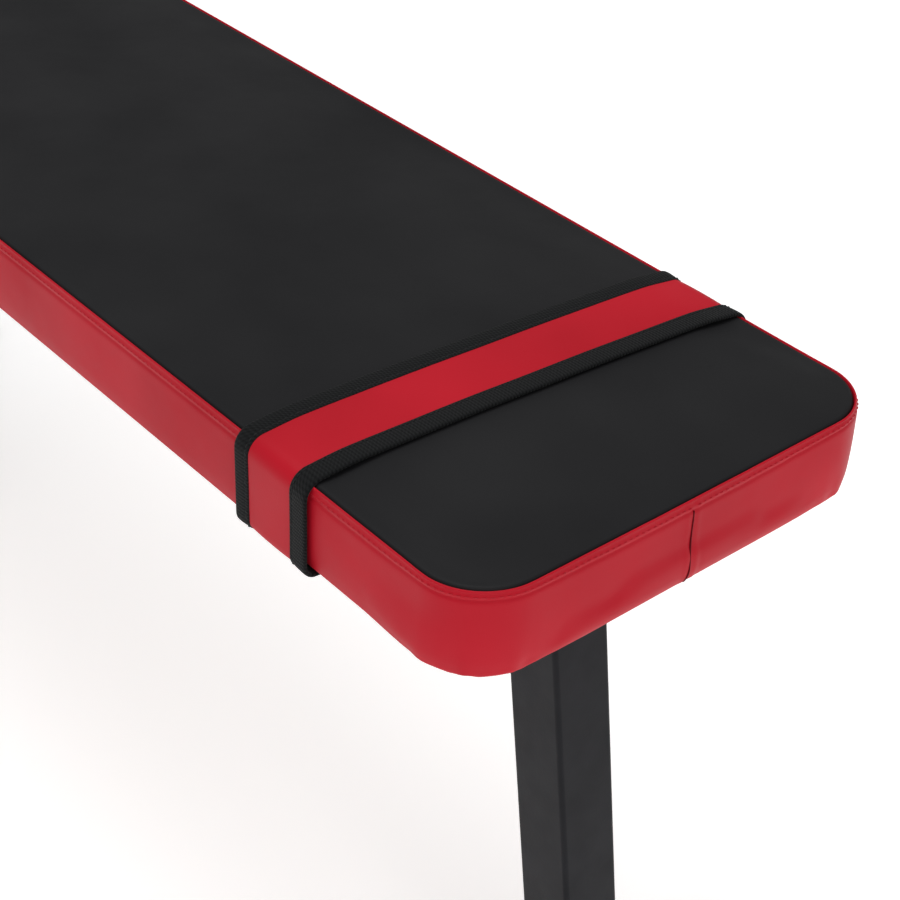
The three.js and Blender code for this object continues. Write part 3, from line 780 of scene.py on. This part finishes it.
def make_pad():
    start, faces, loops, bottom = cushion_start()
    top_count = ROWS * COLUMNS
    moved = swell(start, faces, loops, bottom)
    shape = cap_moves(start, moved, loops, top_count)
    rim = shape[RIM]
    panel = make_top_panel(shape, rim)
    band, rings = make_side_band([shape[loop] for loop in loops])
    return shape, rings


pad_shape, band_rings = make_pad()


# ---- Sleeve round the pad ----

CLOSURE_Y = 75
CLOSURE_SIZE = (29, 64)
CLOSURE_CORNER = 4
# Rings of the flap, as (inset from its edge, height off the pad)
CLOSURE_RINGS = (
    (0.0, 0.8), (0.0, 2.2), (0.4, 2.7), (1.4, 2.9), (2.6, 2.75),
    (3.2, 2.5), (3.8, 2.75), (5.0, 2.9), (9.0, 2.95),
)
CLOSURE_SEAM = 5  # the ring that is sewn


def side_reach(rings, low, high):
    """How far the side band stands out from the pad's middle, over a stretch of the pad."""
    points = np.concatenate([ring[(ring[:, 0] > low) & (ring[:, 0] < high)] for ring in rings])
    return np.abs(points[:, 1]).max()


def sleeve_path():
    """The closed section that the sleeve lies on, from the bottom's middle: (y, z) points and normals."""
    low, high = SLEEVE_FOOT - 150, SLEEVE_HEAD + 40
    columns = [c for c in range(COLUMNS) if low - 5 < XS[c] - LENGTH / 2 < high + 5]
    crown_z = [max(pad_shape[r * COLUMNS + c, 2] for c in columns) for r in range(ROWS)]
    half = side_reach(band_rings, low, high) + SLEEVE_STANDOFF
    bottom = -THICKNESS - 0.9
    low_radius = 5.0
    high_radius = 9.0

    def crown(y):
        return float(np.interp(abs(y), YS[ROWS // 2:], crown_z[ROWS // 2:])) + 0.6 * SLEEVE_STANDOFF

    shoulder = half - high_radius
    top = crown(shoulder)
    points = [(y, bottom) for y in np.linspace(0, half - low_radius, 16)]
    points += arc(half - low_radius, bottom + low_radius, low_radius, -90, 0, 9)[1:]
    points += [(half, z) for z in np.linspace(bottom + low_radius, top - high_radius, 9)[1:]]
    points += arc(shoulder, top - high_radius, high_radius, 0, 90, 9)[1:]
    points += [(y, crown(y)) for y in np.linspace(shoulder, 0, 24)[1:]]
    mirrored = [(-y, z) for y, z in reversed(points[1:-1])]
    loop = np.array(points + mirrored)
    normals = outward(loop)
    return loop, normals


SLEEVE_LOOP, SLEEVE_NORMALS = sleeve_path()


SLEEVE_DISTANCE = distances(close(SLEEVE_LOOP))[:-1]


def sleeve_shift(y):
    return SLEEVE_SKEW * y


def make_band(name, profile, waver, material, slot, *replaced):
    """A closed strip round the pad. profile is a closed loop of (x, height over the pad)."""
    verts = []
    uvs = []
    width = distances(close(np.array(profile)))[:-1]
    for (y, z), (ny, nz), s in zip(SLEEVE_LOOP, SLEEVE_NORMALS, SLEEVE_DISTANCE):
        shift = waver * (math.sin(s / 31) + 0.6 * math.sin(s / 13 + 1)) + sleeve_shift(y)
        for (x, height), v in zip(profile, width):
            verts.append((x + shift, y + ny * height, z + nz * height))
            uvs.append((s * MM, v * MM))
    faces = grid_faces(len(SLEEVE_LOOP), len(profile), wrap=True, ring=True)
    band = new_object(name, verts, faces, DECK)
    recalculate(band)
    set_uv(band, uvs)
    subdivide(band, 1)
    return finish_piece(band, material, "pad_sleeve", slot, *replaced)


def binding_profile(outer, inner, high):
    """Tape folded over the panel's edge: a full fold at its outer edge, a sewn edge on the panel."""
    way = math.copysign(1, inner - outer)
    width = abs(inner - outer)
    fold = [(1.2, 0.5), (0.35, 0.9), (0.0, 1.6), (0.25, high - 0.5), (1.0, high - 0.08), (2.4, high)]
    sewn = [(-4.2, -0.3), (-3.0, -0.55), (-2.4, -0.62), (-1.6, -0.45), (-0.7, -0.6), (0, -1.1), (-0.1, -1.9)]
    top = [(width * 0.45, high - 0.12), *((width + x, high + rise) for x, rise in sewn)]
    under = [(width - 1.2, 0.6), (width * 0.5, 0.4)]
    return [(outer + way * x, height) for x, height in fold + top + under]


def sleeve_stitches(name, x, height):
    loop = close(SLEEVE_LOOP)
    flat_normals = close(SLEEVE_NORMALS)
    points = np.column_stack([x + sleeve_shift(loop[:, 0]), loop + flat_normals * height])
    normals = np.column_stack([np.zeros(len(loop)), flat_normals])
    stitch_row(name, points, normals, 2.7, 0.9, 0.34, BLACK_THREAD, "pad_sleeve", "webbing")


def make_sleeve():
    foot, head = SLEEVE_PANEL
    panel = [
        (foot - 7, 0.7), (foot - 4, 1.3), (foot + 1, 1.7), (foot + 8, 2.0), ((foot + head) / 2, 2.1),
        (head - 8, 2.0), (head - 1, 1.7), (head + 4, 1.3), (head + 7, 0.7), ((foot + head) / 2, 0.3),
    ]
    make_band("sleeve_face", panel, 0.0, RED_VINYL, "red_vinyl", "sleeve_panel")
    foot_tape = binding_profile(SLEEVE_FOOT, foot + 0.6, 2.7)
    head_tape = binding_profile(SLEEVE_HEAD, head - 0.6, 3.0)
    make_band("sleeve_edge_foot", foot_tape, 0.22, WEBBING, "webbing", "sleeve_binding_foot")
    make_band("sleeve_edge_head", head_tape, 0.28, WEBBING, "webbing", "sleeve_binding_head")
    sleeve_stitches("sleeve_stitches_foot", foot - 1.8, 2.15)
    sleeve_stitches("sleeve_stitches_head", head + 1.8, 2.45)


def rounded_rectangle(centre, size, radius):
    """A closed loop of (x, y) points."""
    (cx, cy), (width, height) = centre, size
    points = []
    for quarter, (sx, sy) in enumerate(((1, 1), (-1, 1), (-1, -1), (1, -1))):
        corner = (cx + sx * (width / 2 - radius), cy + sy * (height / 2 - radius))
        points += arc(*corner, radius, 90 * quarter, 90 * quarter + 90, 7)
    return points


def make_closure():
    """The sleeve's overlap, closed under the pad: a sewn flap of the same vinyl."""
    base = -THICKNESS - SLEEVE_STANDOFF
    centre = (sum(SLEEVE_PANEL) / 2 + sleeve_shift(CLOSURE_Y), CLOSURE_Y)
    length, width = CLOSURE_SIZE
    verts = []
    for inset, height in CLOSURE_RINGS:
        size = (length - 2 * inset, width - 2 * inset)
        loop = rounded_rectangle(centre, size, max(CLOSURE_CORNER - inset, 0.8))
        verts += [(x, y, base - height) for x, y in loop]
    count = len(loop)
    flap = new_object("sleeve_closure", verts, tube_faces(len(CLOSURE_RINGS), count), DECK)
    recalculate(flap)
    finish_piece(flap, RED_VINYL, "pad_sleeve", "red_vinyl")
    sewn = verts[CLOSURE_SEAM * count:(CLOSURE_SEAM + 1) * count]
    line = [(x, y, base - 2.6) for x, y, _ in sewn + sewn[:1]]
    normals = np.array([(0, 0, -1)] * len(line))
    name = "sleeve_closure_stitches"
    stitch_row(name, line, normals, 2.6, 0.9, 0.34, RED_THREAD, "pad_sleeve", "red_vinyl")


make_sleeve()
make_closure()


# ---- Stitches and staples of the cover ----

def tube_verts(path, radius, sides):
    """Points of a thin tube along a short path of deck points, ring by ring."""
    path = [Vector(point) for point in path]
    verts = []
    for i, point in enumerate(path):
        along = (path[min(i + 1, len(path) - 1)] - path[max(i - 1, 0)]).normalized()
        side = along.orthogonal().normalized()
        verts += [tuple(point + offset) for offset in circle(side, along.cross(side), radius, sides)]
    return verts


def make_edge_stitches():
    """The row that holds the turned seam under the top edge, all the way round."""
    ring = band_rings[len(LIP_PROFILE) + STITCH_RING]
    flat = close(outward(ring[:, :2]))
    normals = np.column_stack([flat, np.zeros(len(flat))])
    line = close(ring) - 0.05 * normals
    stitch_row("pad_edge_stitches", line, normals, 2.9, 1.0, 0.32, RED_THREAD, "bench_frame", "red_vinyl")


def make_seam_painted_shadow():
    """Painted shadow in the side band's closing seam on the head end: a thin tube of darker red vinyl along the
    groove, that shows as a fine dark line.
    """
    points = []
    for ring, depth in zip(band_rings[len(LIP_PROFILE):], SIDE_DEPTHS):
        if STITCH_DROP < depth < THICKNESS - 2:
            head = ring[(ring[:, 0] > -CORNER) & (np.abs(ring[:, 1]) < 20)]
            head = head[np.argsort(head[:, 1])]
            y = SEAM_Y - SEAM_SLANT * depth
            points.append((np.interp(y, head[:, 1], head[:, 0]), y, np.interp(y, head[:, 1], head[:, 2])))
    points = np.array(points)
    points[:, 0] = np.polyval(np.polyfit(points[:, 2], points[:, 0], 4), points[:, 2]) + SEAM_SHADOW_LIFT
    sides = 6
    faces = tube_faces(len(points), sides)
    seam = new_object("pad_seam_painted_shadow", tube_verts(points, SEAM_SHADOW_RADIUS, sides), faces, DECK)
    recalculate(seam)
    finish_piece(seam, SEAM_PAINTED_SHADE, "bench_frame", "red_vinyl")


def make_staples():
    """Staples through the hem, into the board."""
    line = close(band_rings[STAPLE_RING])
    distance = distances(line)
    total = distance[-1]
    count = round(total / STAPLE_PITCH)
    up = Vector((0, 0, 1))
    sides = 6
    verts = []
    faces = []
    for number in range(count):
        s = (number + 0.5) * total / count
        centre = Vector(sample(line, distance, s))
        ahead = Vector(sample(line, distance, min(s + 3, total)))
        askew = Matrix.Rotation(0.14 * math.sin(number * 2.3), 3, "Z")
        reach = askew @ (ahead - centre).normalized() * STAPLE_REACH
        path = [centre + reach * along + up * lift for along, lift in STAPLE_SHAPE]
        faces += tube_faces(len(path), sides, len(verts))
        verts += tube_verts(path, STAPLE_RADIUS, sides)
    staples = new_object("pad_hem_staples", verts, faces, DECK)
    recalculate(staples)
    finish_piece(staples, ZINC, "bench_frame", "zinc_steel")


make_edge_stitches()
make_seam_painted_shadow()
make_staples()


# ---- Frame pieces, from the CAD nodes ----

def round_edges(bm, width, segments, sharp):
    """Bevels every edge that turns by more than sharp degrees."""
    edges = [e for e in bm.edges if e.is_manifold and e.calc_face_angle(0) > math.radians(sharp)]
    shape = {"offset": width * MM, "segments": segments, "profile": 0.5}
    bmesh.ops.bevel(bm, geom=edges, affect="EDGES", clamp_overlap=True, **shape)


def refine(node, width, segments=2):
    """The CAD node's own shape with its hard edges rounded off, as on real metal and moulded plastic."""
    bm = bmesh.new()
    bm.from_mesh(frame["nodes"][node].data)
    bmesh.ops.remove_doubles(bm, verts=bm.verts, dist=2e-6)
    bmesh.ops.dissolve_limit(bm, angle_limit=math.radians(0.6), verts=bm.verts, edges=bm.edges)
    round_edges(bm, width, segments, 28)
    bmesh.ops.triangulate(bm, faces=[f for f in bm.faces if len(f.verts) > 4])
    mesh = bpy.data.meshes.new(node + "_finished")
    bm.to_mesh(mesh)
    bm.free()
    shade_smooth(mesh)
    obj = add_to_scene(node + "_finished", mesh)
    weighted = obj.modifiers.new("weighted", "WEIGHTED_NORMAL")
    weighted.keep_sharp = False
    apply_modifiers(obj)
    slot = SLOT_OF[node]
    return finish_piece(obj, SLOT_MATERIAL[slot], BODY_OF[node], slot, node)


def refine_frame():
    """Every frame node that isn't built anew below, with an edge radius that suits its material."""
    made_anew = ("_housing", "roller_tube", "_knob", "_spring", "tube_cap_left", "tube_cap_right")
    edges = (("black_paint", 0.5, 2), ("black_plastic", 0.9, 3), ("zinc_steel", 0.45, 2))
    for slot, width, segments in edges:
        for node in SLOT_OF:
            if SLOT_OF[node] == slot and not node.endswith(made_anew):
                refine(node, width, segments)
    refine("pad_board", 0.4)


refine_frame()


def trim_board():
    """Draws the board's edge in, so that the cover is all that shows at the pad's side."""
    middle = Matrix.Translation((-LENGTH / 2, 0, 0))
    trim = Matrix.Diagonal((1 - 2 * BOARD_TRIM / LENGTH, 1 - 2 * BOARD_TRIM / WIDTH, 1, 1))
    to_middle = DECK @ middle
    board = bpy.data.objects["pad_board_finished"]
    board.data.transform(to_middle @ trim @ to_middle.inverted())


trim_board()


# ---- Turned pieces ----

def turned(name, profile, origin, axis, segments, node, flutes=0):
    """Stands for node: (radius, height) millimetre points, turned about an axis from origin.

    A point may have a third number, the depth of the flutes there.
    """
    axis = unit(axis)
    side = axis.orthogonal().normalized()
    round_steps = circle(side, axis.cross(side), MM, segments)
    verts = []
    for radius, height, *grip in profile:
        centre = Vector(origin) + axis * (height * MM)
        depth = grip[0] if grip else 0
        for k, step in enumerate(round_steps):
            wave = 1 - depth * (0.5 + 0.5 * math.cos(flutes * 2 * math.pi * k / segments))
            verts.append(tuple(centre + step * (radius * wave)))
    has_bore = profile[0][0] > 0
    obj = new_object(name, verts, grid_faces(len(profile), segments, wrap=True, ring=has_bore))
    bm = bmesh.new()
    bm.from_mesh(obj.data)
    bmesh.ops.remove_doubles(bm, verts=bm.verts, dist=1e-7)
    bmesh.ops.recalc_face_normals(bm, faces=bm.faces)
    round_edges(bm, 0.35, 2, 38)
    bm.to_mesh(obj.data)
    bm.free()
    shade_smooth(obj.data)
    slot = SLOT_OF[node]
    return finish_piece(obj, SLOT_MATERIAL[slot], BODY_OF[node], slot, node)


def middle(node):
    low, high = (Vector(corner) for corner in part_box(node))
    return (low + high) / 2, high - low


def make_rollers():
    """Foam rollers: a skinned sleeve of foam, a little fuller in its middle, with dished ends."""
    bore = 13.2
    edge = 7.0
    for node in ("knee_roller_left", "knee_roller_right", "ankle_roller_left", "ankle_roller_right"):
        centre, size = middle(node)
        radius = size.z / 2 / MM
        length = size.y / MM
        start = centre - Vector((0, size.y / 2, 0))
        rim = radius - 0.5 - edge
        belly = []
        for t in np.linspace(0, 1, 15)[1:-1]:
            belly.append((radius - 0.5 * (1 - math.sin(math.pi * t)), edge + t * (length - 2 * edge)))
        dish = [(bore, 1.2), (bore + 2, 0.4), (bore + 10, 0.9), (radius - edge - 3, 0.5)]
        profile = [
            *dish,
            *arc(rim, edge, edge, -90, 0, 8)[1:],
            *belly,
            *arc(rim, length - edge, edge, 0, 90, 8)[:-1],
            *((r, length - depth) for r, depth in reversed(dish)),
        ]
        foam = turned(node + "_foam", profile, start, (0, 1, 0), 96, node)


def make_roller_tubes():
    radius, bore = 12.5, 10.5
    for node in ("knee_roller_tube", "ankle_roller_tube"):
        centre, size = middle(node)
        length = size.y / MM
        start = centre - Vector((0, size.y / 2, 0))
        outside = [(radius, 0), (radius, length / 2), (radius, length)]
        profile = [(bore, 0), *outside, (bore, length), (bore, length / 2)]
        turned(node + "_finished", profile, start, (0, 1, 0), 64, node)


CAP_PROFILE = (
    (0, -12), (9.4, -12), (10.1, -11), (10.1, 0.3), (16.2, 0.3), *arc(16.2, 1.1, 0.8, -90, 0, 4)[1:],
    (17, 2.2), *arc(14.8, 2.6, 2.2, 0, 70, 6), (12.2, 5.3), (11.4, 5.2), (10.8, 5.5),
    (7, 6.4), (3, 6.8), (0, 6.8),
)


def make_tube_caps():
    """Domed end caps, whose flange keeps each roller on its tube."""
    for pair in ("knee", "ankle"):
        for side, sign in (("left", 1), ("right", -1)):
            node = f"{pair}_tube_cap_{side}"
            tube, size = middle(pair + "_roller_tube")
            start = tube + Vector((0, sign * size.y / 2, 0))
            turned(node + "_finished", CAP_PROFILE, start, (0, sign, 0), 64, node)


def pin_start(name):
    """Where a spring pin's tube face is, and the way that it is pulled."""
    axis = Vector(JOINTS[name + "_pull"]["axis"])
    centre, size = middle(name + "_housing")
    along = abs(size.dot(axis))
    return centre - axis * (along / 2 + 0.3 * MM), axis


BARREL_PROFILE = (
    (5.3, 0.3), (11, 0.3), (11, 1.6), (11, 26), (10.2, 27), (10.2, 28.2), (11, 29),
    *arc(10, 29, 1, 0, 90, 4), (5.3, 30), (5.3, 25), (8.4, 25), (8.4, 3), (5.3, 3),
)
PLUNGER_PROFILE = ((4.8, 4), (7.8, 4), (7.8, 7), (4.8, 7), (4.8, 37.4), (4.2, 38), (0, 38))
GRIP = 0.09
KNOB_PROFILE = (
    (0, 38.3), (5.1, 38.3), (5.1, 32.5), (10.4, 32.5), *arc(10.2, 33.7, 1.2, -80, 0, 4), (11.6, 36.4),
    (13.2, 38.4), (14, 40.6, GRIP), (14, 44, GRIP), (14, 48, GRIP), (13.9, 52.6, GRIP),
    *arc(9.6, 53.6, 4.3, 0, 80, 7), (7.6, 57.4), (5.0, 57.5), (4.4, 57.1), (0, 57.1),
)


def make_spring_pins():
    for name, tip in (("height_pin", 4.6), ("ankle_pin", 2.1)):
        start, axis = pin_start(name)
        turned(name + "_barrel", BARREL_PROFILE, start, axis, 64, name + "_housing")
        point = ((0, -tip), (3.4, -tip), (4.4, 0.5 - tip), (4.8, 1.4 - tip))
        turned(name + "_plunger", point + PLUNGER_PROFILE, start, axis, 48, name)
        turned(name + "_grip", KNOB_PROFILE, start, axis, 96, name + "_knob", flutes=8)
        make_spring(name, start, axis)


def make_spring(name, start, axis):
    """The pin's coil spring: a fixed helix of wire round the pin."""
    side = axis.orthogonal().normalized()
    across = axis.cross(side)
    radius, wire, turns = 6.6, 0.8, 4.5
    low, high = 8.2, 23.8
    steps = 120
    sides = 8
    verts = []
    for i in range(steps + 1):
        t = i / steps
        angle = t * turns * 2 * math.pi
        out = side * math.cos(angle) + across * math.sin(angle)
        centre = start + (out * radius + axis * (low + t * (high - low))) * MM
        verts += [tuple(centre + offset) for offset in circle(out, axis, wire * MM, sides)]
    spring = new_object(name + "_coil", verts, tube_faces(steps + 1, sides))
    recalculate(spring)
    finish_piece(spring, ZINC, name, "zinc_steel", name + "_spring")
    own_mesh(spring)


make_rollers()
make_roller_tubes()
make_tube_caps()
make_spring_pins()


# ---- Weld beads ----

X, Y, Z = Vector((1, 0, 0)), Vector((0, 1, 0)), Vector((0, 0, 1))
BEAD_STEP = 0.8
SQUARE_CORNER = 3.0


def weld(name, points, body, radius=2.0, closed=True, matrix=None):
    """A weld bead along a line of millimetre points: a low round seam with the ripples of its puddles."""
    line = [Vector(point) for point in points]
    if closed:
        line.append(line[0].copy())
    spaced = [line[0]]
    for a, b in zip(line, line[1:]):
        count = max(1, round((b - a).length / BEAD_STEP))
        spaced += [a.lerp(b, k / count) for k in range(1, count + 1)]
    if closed:
        spaced.pop()
    total = len(spaced)
    sides = 8
    verts = []
    travelled = 0.0
    for i, centre in enumerate(spaced):
        after = spaced[(i + 1) % total] if closed else spaced[min(i + 1, total - 1)]
        before = spaced[i - 1] if closed else spaced[max(i - 1, 0)]
        along = (after - before).normalized()
        side = along.orthogonal().normalized()
        ripple = 1 + 0.1 * math.sin(travelled * 2 * math.pi / 3.2) + 0.06 * math.sin(travelled / 5.3 + 1)
        end = 1 if closed else min(1, 0.35 + 0.65 * min(i, total - 1 - i) / 3)
        verts += [centre + offset for offset in circle(side, along.cross(side), radius * ripple * end, sides)]
        travelled += (after - centre).length
    faces = grid_faces(total, sides, wrap=True, ring=True) if closed else tube_faces(total, sides)
    bead = new_object(name, verts, faces, matrix or Matrix.Scale(MM, 4))
    recalculate(bead)
    return finish_piece(bead, PAINT, body, "black_paint")


def square_loop(centre, first, second, half):
    """Points round a square of half-width half in the plane of two unit directions, with cut corners."""
    near = half - SQUARE_CORNER
    places = [(half, near), (near, half)]
    corners = [(half, -near)]
    for _ in range(4):
        corners += places
        places = [(-b, a) for a, b in places]
    return [Vector(centre) + first * a + second * b for a, b in corners[:8]]


def ring_points(centre, first, second, radius):
    return [Vector(centre) + offset for offset in circle(first, second, radius, 40)]


def node_points(node, on_deck=False):
    """The node's vertices in millimetres, in the world's axes or the deck's."""
    source = frame["nodes"][node]
    to_deck = DECK.inverted()
    points = [source.matrix_world @ vertex.co for vertex in source.data.vertices]
    return np.array([to_deck @ point if on_deck else point / MM for point in points])


def span_middle(points, axis):
    return (points[:, axis].min() + points[:, axis].max()) / 2


def weld_leg():
    """Round the leg's foot, on the crossbar, and round its head, under the saddle."""
    leg = node_points("rear_leg")
    foot = leg[leg[:, 2] < leg[:, 2].min() + 0.5]
    foot_centre = (span_middle(foot, 0), 0, foot[:, 2].min())
    weld("leg_foot_weld", square_loop(foot_centre, X, Y, 20.3), "bench_frame")
    leg = node_points("rear_leg", on_deck=True)
    head = leg[leg[:, 2] > leg[:, 2].max() - 0.5]
    head_centre = (span_middle(head, 0), 0, head[:, 2].max())
    weld("leg_head_weld", square_loop(head_centre, X, Y, 20.3), "bench_frame", matrix=DECK)


def weld_base():
    post, size = middle("outer_post")
    post_foot = (post.x / MM, 0, (post.z - size.z / 2) / MM)
    weld("post_weld", square_loop(post_foot, X, Y, 25.3), "front_base")
    rail_centre = (node_points("base_rail")[:, 0].min(), 0, 30)
    weld("rail_weld", square_loop(rail_centre, Y, Z, 25.0), "front_base")


def weld_deck():
    """The mast, the pad's brackets and the pivot lugs, on the beam."""
    mast = node_points("knee_mast", on_deck=True)
    mast_centre = (span_middle(mast, 0), 0, mast[:, 2].min())
    weld("mast_weld", square_loop(mast_centre, X, Y, 20.2), "bench_frame", matrix=DECK)
    for name in ("head", "foot"):
        bar = node_points("pad_bracket_" + name, on_deck=True)
        bottom = bar[:, 2].min()
        for end, x in (("front", bar[:, 0].max()), ("rear", bar[:, 0].min())):
            line = [(x, -17, bottom), (x, 17, bottom)]
            weld(f"bracket_weld_{name}_{end}", line, "bench_frame", 1.7, False, DECK)
    for side, sign in (("left", 1), ("right", -1)):
        lug = node_points("pivot_lug_" + side, on_deck=True)
        face = sign * 20.4
        low, high, top = lug[:, 0].min(), lug[:, 0].max(), lug[:, 2].max()
        line = [(low, face, top - 30), (low, face, top), (high, face, top), (high, face, top - 30)]
        weld("lug_weld_" + side, line, "bench_frame", 1.7, False, DECK)


def weld_round_parts():
    """Round the spring pins' barrels and the roller tubes."""
    for name in ("height_pin", "ankle_pin"):
        start, axis = pin_start(name)
        first = axis.orthogonal().normalized()
        ring = ring_points(start / MM + axis * 0.3, first, axis.cross(first), 11.2)
        weld(name + "_barrel_weld", ring, BODY_OF[name + "_housing"], 1.4)
    for name, face, body in (("knee", 20.2, "bench_frame"), ("ankle", 17.7, "ankle_arm")):
        centre, _ = middle(name + "_roller_tube")
        for side, sign in (("left", 1), ("right", -1)):
            ring = ring_points((centre.x / MM, sign * face, centre.z / MM), X, Z, 12.8)
            weld(f"{name}_tube_weld_{side}", ring, body, 1.5)


def weld_elbow():
    """The bead round the mitre of the ankle arm."""
    arm = node_points("ankle_arm_tube", on_deck=True)
    end = arm[arm[:, 0] < np.percentile(arm[:, 0], 1) + 32]
    high, low = end[:, 2].max(), end[:, 2].min()
    top = end[end[:, 2] > high - 0.2][:, 0].min()
    bottom = end[end[:, 2] < low + 0.2][:, 0].min()
    centre = Vector(((top + bottom) / 2, 0, (high + low) / 2))
    slope = Vector((top - bottom, 0, high - low)) / 2 * 0.93
    across = Y * 17.1
    k = 0.84
    places = [(1, -k), (1, k), (k, 1), (-k, 1), (-1, k), (-1, -k), (-k, -1), (k, -1)]
    loop = [centre + slope * a + across * b for a, b in places]
    weld("ankle_elbow_weld", loop, "ankle_arm", 1.7, True, DECK)


weld_leg()
weld_base()
weld_deck()
weld_round_parts()
weld_elbow()


# ---- Camera, light and floor ----

CAMERA_AZIMUTH = math.radians(49.94)
CAMERA_ELEVATION = math.radians(32.98)
CAMERA_FROM_PAD = Vector((0.5040, -0.5794, 0.5188))  # from the middle of the pad's top edge at its head end
SENSOR = 36.0
FOCAL_LENGTH = 77.08


def add_camera():
    data = bpy.data.cameras.new("camera")
    data.sensor_width = SENSOR
    data.lens = FOCAL_LENGTH
    data.clip_end = 400
    camera = add_to_scene("camera", data)
    camera.location = DECK.translation + CAMERA_FROM_PAD
    camera.rotation_euler = (math.pi / 2 - CAMERA_ELEVATION, 0, CAMERA_AZIMUTH)
    bpy.context.scene.camera = camera


def add_area(name, location, target, size, power):
    data = bpy.data.lights.new(name, "AREA")
    data.shape = "RECTANGLE"
    data.size, data.size_y = size
    data.energy = power
    light = add_to_scene(name, data)
    light.location = location
    light.rotation_euler = (Vector(target) - Vector(location)).to_track_quat("-Z", "Y").to_euler()


def add_lights():
    bench = (0.0, 0.0, 0.4)
    add_area("overhead", (0.2, -0.2, 3.0), bench, (2.6, 2.2), 46)
    add_area("key", (3.1, -1.2, 2.2), (0.5, 0, 0.45), (1.6, 1.6), 24)
    add_area("fill", (-1.5, -3.0, 1.8), bench, (2.0, 1.6), 2)
    world = bpy.data.worlds.new("studio")
    world.use_nodes = True
    background = world.node_tree.nodes["Background"]
    background.inputs["Color"].default_value = (1, 1, 1, 1)
    background.inputs["Strength"].default_value = 0.35
    bpy.context.scene.world = world


def set_view():
    """The plain transform keeps the floor white and the red saturated."""
    bpy.context.scene.view_settings.view_transform = "Standard"


def add_floor():
    size = 120.0
    corners = [(-size, -size, 0), (size, -size, 0), (size, size, 0), (-size, size, 0)]
    floor = new_object("studio_floor", corners, [(0, 1, 2, 3)], smooth=False)
    shader = Shader("floor_paint", (0.93, 0.93, 0.93), 0.9, specular=0.1)
    shader.tint(shader.noise(shader.coordinates(), 2, 2), (0.92, 0.92, 0.92), (0.94, 0.94, 0.94))
    shader.bsdf.inputs["Emission Color"].default_value = (1, 1, 1, 1)
    shader.bsdf.inputs["Emission Strength"].default_value = 0.47
    floor.data.materials.append(shader.material)


set_view()
add_camera()
add_lights()
add_floor()
